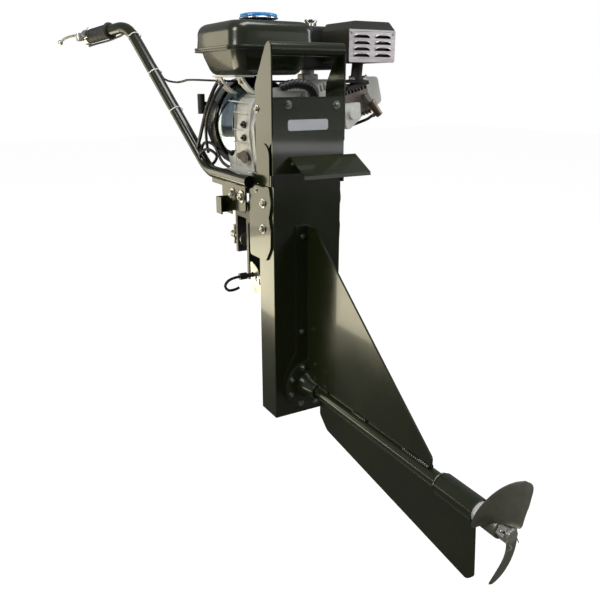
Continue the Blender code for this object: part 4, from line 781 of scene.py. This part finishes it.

# The fuel tank: two pressings with a rolled seam between them, sprayed the same green as the leg,
# though drawn lighter here as painted light. Each is a stack of rounded rectangles that draws in
# towards its far face over a soft shoulder.
def tank_rows(low, high, corner, levels, columns=96):
    """Rounded rectangles, one for each (inset, height), with a quarter circle at every corner."""
    turn = np.linspace(0, 2 * np.pi, columns, endpoint=False) + np.pi / columns
    quarter_x = np.sign(np.cos(turn))
    quarter_y = np.sign(np.sin(turn))
    rows = []
    for inset, z in levels:
        reach_x = (high[0] - low[0]) / 2 - inset - corner
        reach_y = (high[1] - low[1]) / 2 - inset - corner
        x = (low[0] + high[0]) / 2 + quarter_x * reach_x + corner * np.cos(turn)
        y = (low[1] + high[1]) / 2 + quarter_y * reach_y + corner * np.sin(turn)
        rows.append(np.stack([x, y, np.full(columns, z)], -1) + datum)
    return rows


def closed_rows(rows):
    """The rows as one skin, drawn together to a point at the first row and at the last."""
    rows = [np.repeat(rows[0].mean(0, keepdims=True), len(rows[0]), 0)] + rows
    rows.append(np.repeat(rows[-1].mean(0, keepdims=True), len(rows[-1]), 0))
    return np.stack(rows), grid_faces(len(rows), rows[0].shape[0])


shoulder = np.linspace(0, np.pi / 2, 9)
lid_levels = [(0.0, 0.7150), (0.0015, 0.7350)]
lid_levels += [(0.0015 + 0.0185 * (1 - np.cos(a)), 0.7420 + 0.0225 * np.sin(a)) for a in shoulder]
lid_levels += [(0.034, 0.7656), (0.055, 0.7662)]
tray_levels = [
    (0.030, 0.6602), (0.022, 0.6606), (0.0165, 0.6640), (0.0120, 0.6710), (0.0030, 0.6960),
    (0.0, 0.7080),
]
seam_levels = [
    (0.0008, 0.7068), (0.0, 0.7078), (0.0, 0.7095), (0.0016, 0.7104), (0.0016, 0.7112), (0.0, 0.7121),
    (0.0, 0.7150), (0.0010, 0.7160),
]
# The leg's green, drawn lighter on the tank: the extra lightness is painted light.
tank_green_painted_lighter = make_finish(
    "tank green gloss, painted lighter", (0.0130, 0.0165, 0.0055), (0.0170, 0.0205, 0.0075), 0.0, 0.22, 0.34,
    patch=4.0, grain=60.0, relief=0.03, coat=0.35,
)
FILLER_X = -0.012
FILLER_Y = 0.190
neck = [(0.0225, 0), (0.0290, 0), (0.0290, 0.0100), (0.0284, 0.0112), (0.0225, 0.0112), (0.0225, 0)]
tank = add_piece(
    "tank_shell", "motor",
    [
        closed_rows(tank_rows((-0.107, 0.104), (0.075, 0.305), 0.030, tray_levels)),
        closed_rows(tank_rows((-0.120, 0.089), (0.088, 0.320), 0.034, seam_levels)),
        closed_rows(tank_rows((-0.115, 0.094), (0.083, 0.315), 0.032, lid_levels)),
        lathe(neck, at(FILLER_X, FILLER_Y, 0.7600), UP, 48),
    ],
    tank_green_painted_lighter, 40.0,
)
stand_for("fuel_tank", tank_green_painted_lighter)

# The filler cap: a pressed steel cap with a bright rolled rim, and a top painted in a speckled
# blue. It turns on the tank's neck.
cap_blue = make_finish(
    "speckled blue cap", (0.010, 0.200, 0.620), (0.010, 0.330, 0.780), 0.05, 0.25, 0.40, patch=60.0,
    relief=0.05, coat=0.2,
)


def recolour(material, mask, off=None, on=None):
    """One colour where the mask is 0 and one where it is 1; None keeps the finish's own there."""
    tree = material.node_tree
    mix = tree.nodes.new("ShaderNodeMix")
    mix.data_type = "RGBA"
    tree.links.new(mask, mix.inputs["Factor"])
    for socket, colour in (("A", off), ("B", on)):
        if colour is None:
            tree.links.new(tree.nodes["finish"].outputs["Colour"], mix.inputs[socket])
        else:
            mix.inputs[socket].default_value = (*colour, 1.0)
    tree.links.new(mix.outputs["Result"], tree.nodes["Principled BSDF"].inputs["Base Color"])


cap_tree = cap_blue.node_tree
cap_place = cap_tree.nodes.new("ShaderNodeTexCoord")
flakes = cap_tree.nodes.new("ShaderNodeTexVoronoi")
flakes.inputs["Scale"].default_value = 210.0
cap_tree.links.new(cap_place.outputs["Object"], flakes.inputs["Vector"])
flake_mask = cap_tree.nodes.new("ShaderNodeMapRange")
flake_mask.inputs["From Min"].default_value = 0.26
flake_mask.inputs["From Max"].default_value = 0.18
cap_tree.links.new(flakes.outputs["Distance"], flake_mask.inputs["Value"])
recolour(cap_blue, flake_mask.outputs["Result"], on=(0.75, 0.86, 0.92))
dress("fuel_cap", cap_blue, 50.0)
chrome = make_finish(
    "bright chrome", (0.86, 0.87, 0.88), (0.78, 0.79, 0.80), 1.0, 0.05, 0.12, patch=20.0, relief=0.02,
)
rim = [
    (0.0395, 0.0002), (0.0412, 0.0008), (0.0416, 0.0020), (0.0412, 0.0032), (0.0398, 0.0038),
    (0.0395, 0.0002),
]
rim_place = at(FILLER_X, FILLER_Y, 0.7720)
add_piece("cap_rim", "fuel_cap", [lathe(rim, rim_place, UP, 64)], chrome, 60.0)

# The engine: aluminium castings, sprayed grey, for the crankcase, cylinder and carburettor. The
# rocker cover is cream and the head is browned by heat, with pale lugs left clean along its aft
# edge. The shafts, pulleys and bearings inside the leg are oiled steel, with a bronze stern bush.
cast_grey = make_finish(
    "painted grey casting", (0.60, 0.60, 0.57), (0.46, 0.46, 0.43), 0.25, 0.42, 0.60,
    patch=16.0, grain=380.0, relief=0.35,
)
dress("crankcase crankcase_cover cylinder carburettor", cast_grey)
cover_cream = make_finish(
    "cream rocker cover", (0.84, 0.83, 0.77), (0.74, 0.73, 0.67), 0.0, 0.30, 0.45,
    patch=16.0, grain=300.0, relief=0.10,
)
dress("rocker_cover", cover_cream)
head_bronze = make_finish(
    "heat-browned head", (0.30, 0.25, 0.21), (0.20, 0.16, 0.14), 0.55, 0.40, 0.58,
    patch=22.0, grain=380.0, relief=0.3,
)
LUG_DEPTH = 0.1118


def below(material, axis, edge):
    """A mask: 1 where the mesh's own coordinate on this axis is under the edge, and 0 beyond it."""
    tree = material.node_tree
    place = tree.nodes.new("ShaderNodeTexCoord")
    axes = tree.nodes.new("ShaderNodeSeparateXYZ")
    tree.links.new(place.outputs["Object"], axes.inputs["Vector"])
    mask = tree.nodes.new("ShaderNodeMath")
    mask.operation = "LESS_THAN"
    mask.inputs[1].default_value = edge
    tree.links.new(axes.outputs[axis], mask.inputs[0])
    return mask.outputs["Value"]


recolour(head_bronze, below(head_bronze, "Y", datum[1] + LUG_DEPTH), on=(0.82, 0.81, 0.77))
dress("cylinder_head", head_bronze)
dress("flywheel", cast_grey)
dark_metal = make_finish(
    "oiled machined steel", (0.42, 0.42, 0.41), (0.34, 0.34, 0.33), 1.0, 0.25, 0.4, patch=20.0,
    grain=600.0, relief=0.1,
)
dress("crankshaft drive_pulley driven_pulley aft_bearing forward_bearing", dark_metal)
bush_bronze = make_finish(
    "bearing bronze", (0.46, 0.30, 0.13), (0.36, 0.22, 0.09), 1.0, 0.25, 0.4, patch=30.0, grain=500.0,
    relief=0.1,
)
dress("stern_bush", bush_bronze)
belt_rubber = make_finish(
    "belt rubber", (0.012, 0.012, 0.012), (0.022, 0.022, 0.021), 0.0, 0.6, 0.8, patch=30.0, grain=500.0,
    relief=0.3,
)
dress("drive_belt", belt_rubber)
plug_brown = make_finish(
    "browned plug cap", (0.22, 0.16, 0.12), (0.12, 0.09, 0.07), 0.7, 0.28, 0.42, patch=60.0,
    relief=0.15,
)
dress("plug_cap", plug_brown)
dress("spark_plug", zinc)

# On the crankcase: six bolts round its aft cover, two oil plugs, a flat dark sheet on the port
# side painted as the shade of a drain recess, and the shallow ribs that the casting carries there.
case_bolts = [
    (-0.062, 0.480), (0.058, 0.480), (-0.070, 0.550), (-0.050, 0.616), (0.040, 0.618), (0.070, 0.560),
]
add_bolts("case_cover_bolts", "motor", [(x, 0.0918, z) for x, z in case_bolts], AFT, 0.0030)
# One dark brown: the oil plugs' own colour, and painted shade on the recess sheet.
plug_colour_and_recess_shade = make_finish(
    "dark plugs and painted recess shade", (0.035, 0.022, 0.016), (0.016, 0.012, 0.010), 0.2, 0.35, 0.55, patch=60.0,
    relief=0.2,
)
plugs = []
for y, z, radius in ((0.128, 0.561, 0.0075), (0.128, 0.534, 0.0070)):
    skirt = [(0, 0), (radius, 0), (radius, 0.004), (radius * 0.8, 0.0052)]
    knob = skirt + [(radius * 0.45, 0.0052), (radius * 0.4, 0.0090), (0, 0.0090)]
    plugs.append(lathe(knob, at(-0.0802, y, z), PORT, 24))
recess_turn = np.linspace(0, 2 * np.pi, 40, endpoint=False)
recess_y = 0.140 + 0.028 * np.cos(recess_turn)
recess_z = 0.494 + 0.0120 * np.sin(recess_turn) * (1 + 0.3 * np.cos(3 * recess_turn))
recess = np.column_stack([recess_y, recess_z])
add_piece("oil_plugs", "motor", plugs, plug_colour_and_recess_shade)
# The recess is only a flat sheet; its dark colour is painted shade.
add_piece(
    "drain_recess_painted_shade", "motor", [prism(recess, 0.0, 0.0008, on_side(-1, 0.0803))], plug_colour_and_recess_shade,
    38.0,
)
case_ribs = []
for z, start, end in (
    (0.520, 0.112, 0.196), (0.548, 0.140, 0.228), (0.583, 0.112, 0.180), (0.606, 0.124, 0.228),
):
    line = np.array(
        [[-0.0804, start, z], [-0.0810, (start + end) / 2, z + 0.001], [-0.0804, end, z + 0.002]]
    )
    case_ribs.append(swept(line + datum, [0.0010, 0.0016, 0.0010], 8))
upright = [at(-0.0804, 0.172, 0.470), at(-0.0810, 0.176, 0.530), at(-0.0804, 0.172, 0.600)]
case_ribs.append(swept(upright, [0.0010, 0.0016, 0.0010], 8))
add_piece("case_ribs", "motor", case_ribs, cast_grey, 60.0)

# The cylinder leans out to starboard. Bolts hold its rocker cover, and two nuts the exhaust.
LEAN = math.radians(15)
out_along = np.array([math.cos(LEAN), 0, math.sin(LEAN)])
out_up = np.array([-math.sin(LEAN), 0, math.cos(LEAN)])
cylinder_root = np.array([0.070, 0.0, 0.580])


def on_cylinder(distance, height, y):
    """A place given along the cylinder, square to it, and forward."""
    return tuple(cylinder_root + out_along * distance + out_up * height + np.array([0, y, 0]))


add_bolts(
    "rocker_bolts", "motor",
    [on_cylinder(0.1680, h, y) for h in (-0.0350, 0.0350) for y in (0.1245, 0.1790)], out_along, 0.0026,
)
add_bolts(
    "exhaust_nuts", "motor", [on_cylinder(d, 0.0300, 0.118) for d in (0.1070, 0.1500)], out_up, 0.0042,
)

# Tank bracket: two flat cast straps that sweep up from the crankcase's port side, and the lugs that
# hold them to the tank's underside.
def strap(y_low, y_high, points, thickness=0.0042):
    """A flat bar bent in the XZ plane: its middle runs through the points, its edges are square."""
    line = smooth_path([(x, 0.0, z) for x, z in points], 24) - datum
    along = np.gradient(line, axis=0)
    along /= np.linalg.norm(along, axis=1, keepdims=True)
    away = np.column_stack([-along[:, 2], np.zeros(24), along[:, 0]]) * thickness / 2
    rows = []
    for y, side in ((y_low, 1), (y_high, 1), (y_high, -1), (y_low, -1)):
        row = line + away * side
        row[:, 1] = y
        rows.append(row + datum)
    loop = np.stack(rows, 1)
    caps = [np.repeat(loop[k : k + 1].mean(1, keepdims=True), 4, 1) for k in (0, -1)]
    loop = np.concatenate([caps[0], loop, caps[1]])
    return loop, grid_faces(len(loop), 4)


add_piece(
    "tank_straps", "motor",
    [
        strap(0.128, 0.158, [(-0.040, 0.622), (-0.058, 0.628), (-0.074, 0.644), (-0.082, 0.6565)]),
        strap(0.196, 0.226, [(-0.052, 0.618), (-0.072, 0.626), (-0.092, 0.644), (-0.100, 0.6560)]),
        strap(0.118, 0.236, [(-0.104, 0.6574), (-0.060, 0.6574)], 0.0036),
    ],
    cast_grey, 40.0,
)
add_bolts(
    "tank_strap_nuts", "motor", [(-0.0800, 0.143, 0.6450), (-0.0975, 0.211, 0.6440)], (-1, 0, -0.5),
    0.0034,
)

# The fan shroud: a bright pressed band round the crankcase's forward end, over the flywheel. The
# housing ahead of it and the recoil starter on its front are sprayed a darker green than the leg.
# The starter's grip, the levers and the air cleaner are moulded black plastic.
CRANK_Z = 0.556
# Painted light: pale teal for reflections in the chrome, dark teal patches for shade in its folds.
shroud_painted_reflections = make_finish(
    "shroud with painted reflections and shade", (0.62, 0.70, 0.78), (0.10, 0.17, 0.22), 1.0, 0.08, 0.22, patch=26.0, grain=34.0,
    stretch=(1.0, 1.0, 0.35), relief=0.9,
)
BAND_THICKNESS = 0.0016
ROWS = 26
COLUMNS = 70
band = np.linspace(0, 1, ROWS)
band_swell = 0.0140 * np.sin(np.clip(band * 1.35, 0, 1) * np.pi / 2)
band_lip = 0.0040 * np.clip((band - 0.8) / 0.2, 0, 1) ** 2
band_radius = 0.0850 + band_swell - band_lip
band_y = np.broadcast_to((0.1800 + band * 0.0545)[:, None], (ROWS, COLUMNS))
arc = np.radians(np.linspace(97, 262, COLUMNS))


def band_sheet(radius):
    """The band as a grid at one radius: an arc about the crank at each place along it."""
    return np.stack(
        [radius[:, None] * np.cos(arc), band_y, radius[:, None] * np.sin(arc) + CRANK_Z], -1,
    )


outer = band_sheet(band_radius)
inner = band_sheet(band_radius - BAND_THICKNESS)
band_shell = np.concatenate([outer, inner[::-1], outer[:1]]) + datum
band_ends = [np.stack([outer[:, k], inner[:, k]], 1) + datum for k in (0, -1)]
band_patches = [(band_shell, grid_faces(band_shell.shape[0], COLUMNS, wrap=False))]
band_patches += [(end, grid_faces(ROWS, 2, wrap=False)) for end in band_ends]
add_piece(
    "fan_shroud_band", "motor",
    band_patches, shroud_painted_reflections, 50.0,
)
housing_green = make_finish(
    "fan housing green", (0.0060, 0.0080, 0.0040), (0.0090, 0.0110, 0.0060), 0.0, 0.18, 0.30,
    patch=6.0, grain=150.0, relief=0.10, coat=0.6,
)
dress("fan_housing recoil_housing", housing_green, 30.0)
spokes = []
RECOIL_RIBS = 14
for spoke in range(RECOIL_RIBS):
    way = 2 * math.pi * spoke / RECOIL_RIBS
    direction = np.array([math.cos(way), 0, math.sin(way)])
    rib = [
        at(0, y, CRANK_Z) + direction * radius
        for y, radius in ((0.3392, 0.030), (0.3398, 0.046), (0.3370, 0.066))
    ]
    spokes.append(swept(rib, 0.0016, 8))
add_piece("recoil_ribs", "motor", spokes, housing_green, 50.0)
BOLT_CIRCLE = 0.0865
recoil_turns = np.radians((20, 100, 180, 300))
recoil_places = [
    (BOLT_CIRCLE * math.cos(a), 0.2980, CRANK_Z + BOLT_CIRCLE * math.sin(a))
    for a in recoil_turns
]
add_bolts("recoil_bolts", "motor", recoil_places, FORE, 0.0028)
black_plastic = make_finish(
    "moulded black plastic", (0.014, 0.014, 0.014), (0.022, 0.022, 0.022), 0.0, 0.36, 0.5, patch=14.0,
    grain=700.0, relief=0.25,
)
dress("starter_reel starter_grip choke_lever fuel_tap_lever throttle_arm air_cleaner", black_plastic)
switch_red = make_finish(
    "red switch plastic", (0.42, 0.02, 0.015), (0.34, 0.015, 0.012), 0.0, 0.3, 0.42, patch=30.0,
    grain=600.0, relief=0.1,
)
dress("engine_switch", switch_red)

# Muffler guard: a pressed box whose aft face is bare heat-tinted steel with hooded louvres; the
# rest is black. The muffler inside it and the pipe are painted matt black.
guard_steel = make_finish(
    "heat-tinted guard", (0.74, 0.70, 0.70), (0.52, 0.47, 0.50), 1.0, 0.30, 0.46,
    patch=10.0, grain=300.0, stretch=(1.0, 1.0, 9.0), relief=0.10,
)
FACE_DEPTH = 0.0016
FACE_TOP = 0.0165
guard_low, guard_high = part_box("muffler_guard")
guard_tree = guard_steel.node_tree
face_mask = guard_tree.nodes.new("ShaderNodeMath")
face_mask.operation = "MULTIPLY"
guard_tree.links.new(below(guard_steel, "Y", guard_low.y + FACE_DEPTH), face_mask.inputs[0])
guard_tree.links.new(below(guard_steel, "Z", guard_high.z - FACE_TOP), face_mask.inputs[1])
bare = face_mask.outputs["Value"]
recolour(guard_steel, bare, off=(0.026, 0.025, 0.019))
guard_tree.links.new(bare, guard_tree.nodes["Principled BSDF"].inputs["Metallic"])
dress("muffler_guard", guard_steel, 30.0)
matt_black = make_finish(
    "matt exhaust black", (0.012, 0.011, 0.011), (0.028, 0.020, 0.016), 0.0, 0.5, 0.72, patch=18.0,
    grain=420.0, relief=0.3,
)
dress("muffler", matt_black)


GUARD_FACE = 0.0679


def louvre_lip(x, z, width=0.042, height=0.0062):
    """A pressed eyebrow over a slot: a thin lip that rises at both ends and runs flat between them."""
    u = np.linspace(0, 1, 33)
    lift = 1 - np.abs(2 * u - 1) ** 5
    across_slot = x - 0.001 + u * (width + 0.002)
    path = np.column_stack([across_slot, GUARD_FACE - 0.0016 * lift, z + 0.0006 + height * lift])
    return swept(path + datum, 0.0006 + 0.0007 * lift, 10)


bare_guard = make_finish(
    "bare guard lips", (0.84, 0.81, 0.80), (0.70, 0.66, 0.67), 1.0, 0.25, 0.40, patch=12.0, grain=300.0,
    relief=0.06,
)
lips = [
    louvre_lip(0.150 + 0.055 * column, 0.697 + 0.0125 * row)
    for column in range(2) for row in range(4)
]
fold = [at(0.1400, GUARD_FACE, 0.7480), at(0.199, 0.0676, 0.7480), at(0.2580, GUARD_FACE, 0.7480)]
lips.append(swept(fold, 0.0009, 10))
add_piece("guard_louvres", "motor", lips, bare_guard, 60.0)
flange = [
    (0.010, 0), (0.0235, 0), (0.0240, 0.0012), (0.0240, 0.0062), (0.0228, 0.0072), (0.0150, 0.0080),
]
flange += [(0.0135, 0.0150), (0.010, 0.0150), (0.010, 0)]
flange_place = at(0.1915, 0.1180, 0.6435)
add_piece(
    "exhaust_flange", "motor", [lathe(flange, flange_place, UP, 40)], matt_black, 40.0,
)
add_bolts("flange_nuts", "motor", [(0.1755, 0.1080, 0.6510), (0.2075, 0.1080, 0.6510)], UP, 0.0042)
add_bolts("guard_screws", "motor", [(0.1460, 0.0680, 0.7440), (0.2530, 0.0680, 0.7440)], AFT, 0.0020)
wing_hub = [(0, 0), (0.0058, 0), (0.0062, 0.002), (0.0050, 0.008), (0.0042, 0.010), (0, 0.010)]
wing = [lathe(wing_hub, at(0.146, 0.240, 0.7655), UP, 20)]
for side in (-1, 1):
    lobe = [
        at(0.146 + side * x, 0.240, z)
        for x, z in ((0.003, 0.769), (0.009, 0.774), (0.0145, 0.7805))
    ]
    wing.append(swept(lobe, [0.0032, 0.0036, 0.0030], 12))
add_piece("wing_nut", "motor", wing, zinc, 60.0)

# Leads and hoses, in black rubber and plastic: a thick loom from under the tank to the tiller's
# foot with three loops beside it, the plug lead pushed onto the plug's cap, and a ribbed duct that
# shows through the carrying window.
loom = smooth_path(
    [
        (-0.092, 0.215, 0.656), (-0.106, 0.225, 0.630), (-0.114, 0.250, 0.590), (-0.116, 0.290, 0.530),
        (-0.114, 0.318, 0.493), (-0.104, 0.306, 0.468),
    ],
)
add_piece("engine_loom", "motor", [swept(loom, 0.0042, 14)], cable_black, 60.0)
loops = [
    [
        (-0.106, 0.300, 0.466), (-0.118, 0.296, 0.486), (-0.108, 0.272, 0.500), (-0.090, 0.262, 0.486),
        (-0.092, 0.280, 0.466), (-0.104, 0.290, 0.470),
    ],
    [
        (-0.112, 0.306, 0.492), (-0.104, 0.296, 0.512), (-0.092, 0.270, 0.508), (-0.084, 0.246, 0.474),
        (-0.070, 0.225, 0.4585),
    ],
    [
        (-0.086, 0.205, 0.650), (-0.104, 0.214, 0.624), (-0.112, 0.236, 0.592), (-0.112, 0.262, 0.560),
        (-0.104, 0.285, 0.520), (-0.098, 0.292, 0.490),
    ],
]
add_piece(
    "foot_loops", "motor", [swept(smooth_path(points), 0.0034, 12) for points in loops], cable_black,
    60.0,
)
plug_lead = smooth_path(
    [
        (0.2455, 0.1220, 0.5735), (0.2400, 0.150, 0.560), (0.205, 0.200, 0.540), (0.150, 0.235, 0.535),
        (0.106, 0.255, 0.545),
    ],
)
add_piece("plug_lead", "motor", [swept(plug_lead, 0.0034, 12)], cable_black, 60.0)
duct_path = smooth_path(
    [
        (-0.010, 0.100, 0.634), (0.014, 0.088, 0.642), (0.044, 0.086, 0.640), (0.066, 0.096, 0.630),
        (0.080, 0.108, 0.618),
    ],
    150,
)
DUCT_RIBS = 14
duct_wave = 0.0085 + 0.0016 * np.abs(np.sin(np.linspace(0, DUCT_RIBS * np.pi, 150)))
add_piece("ribbed_duct", "motor", [swept(duct_path, duct_wave, 20)], cable_black, 60.0)

# The clamp and the swivel bracket are painted black, and so is the trim pin. The racks, the bolts,
# and the clamp's screws and pads are zinc plated.
clamp_black = make_finish(
    "clamp black paint", (0.012, 0.012, 0.012), (0.024, 0.023, 0.021), 0.0, 0.34, 0.5, patch=12.0,
    grain=350.0, relief=0.2, coat=0.2,
)
dress("transom_clamp swivel_bracket trim_pin", clamp_black)
dress("trim_rack_left trim_rack_right tilt_bolt king_pin", zinc)
dress("clamp_pad_left clamp_pad_right clamp_screw_left clamp_screw_right", zinc)

# A blank label: a thin pale plastic film with round corners, stuck to the cover's aft face. It
# carries no lettering.
label_white = make_finish(
    "blank pale label", (0.62, 0.64, 0.66), (0.56, 0.58, 0.60), 0.0, 0.28, 0.36, patch=20.0,
    grain=300.0, relief=0.03,
)
label_turn = np.linspace(0, 2 * np.pi, 64, endpoint=False)
label_x = -0.002 + np.sign(np.cos(label_turn)) * 0.041 + 0.005 * np.cos(label_turn)
label_z = 0.5650 + np.sign(np.sin(label_turn)) * 0.0055 + 0.005 * np.sin(label_turn)
add_piece(
    "blank_label", "motor",
    [prism(np.column_stack([label_x, label_z]), 0.0040, 0.0044, on_aft_face)],
    label_white, 38.0,
)
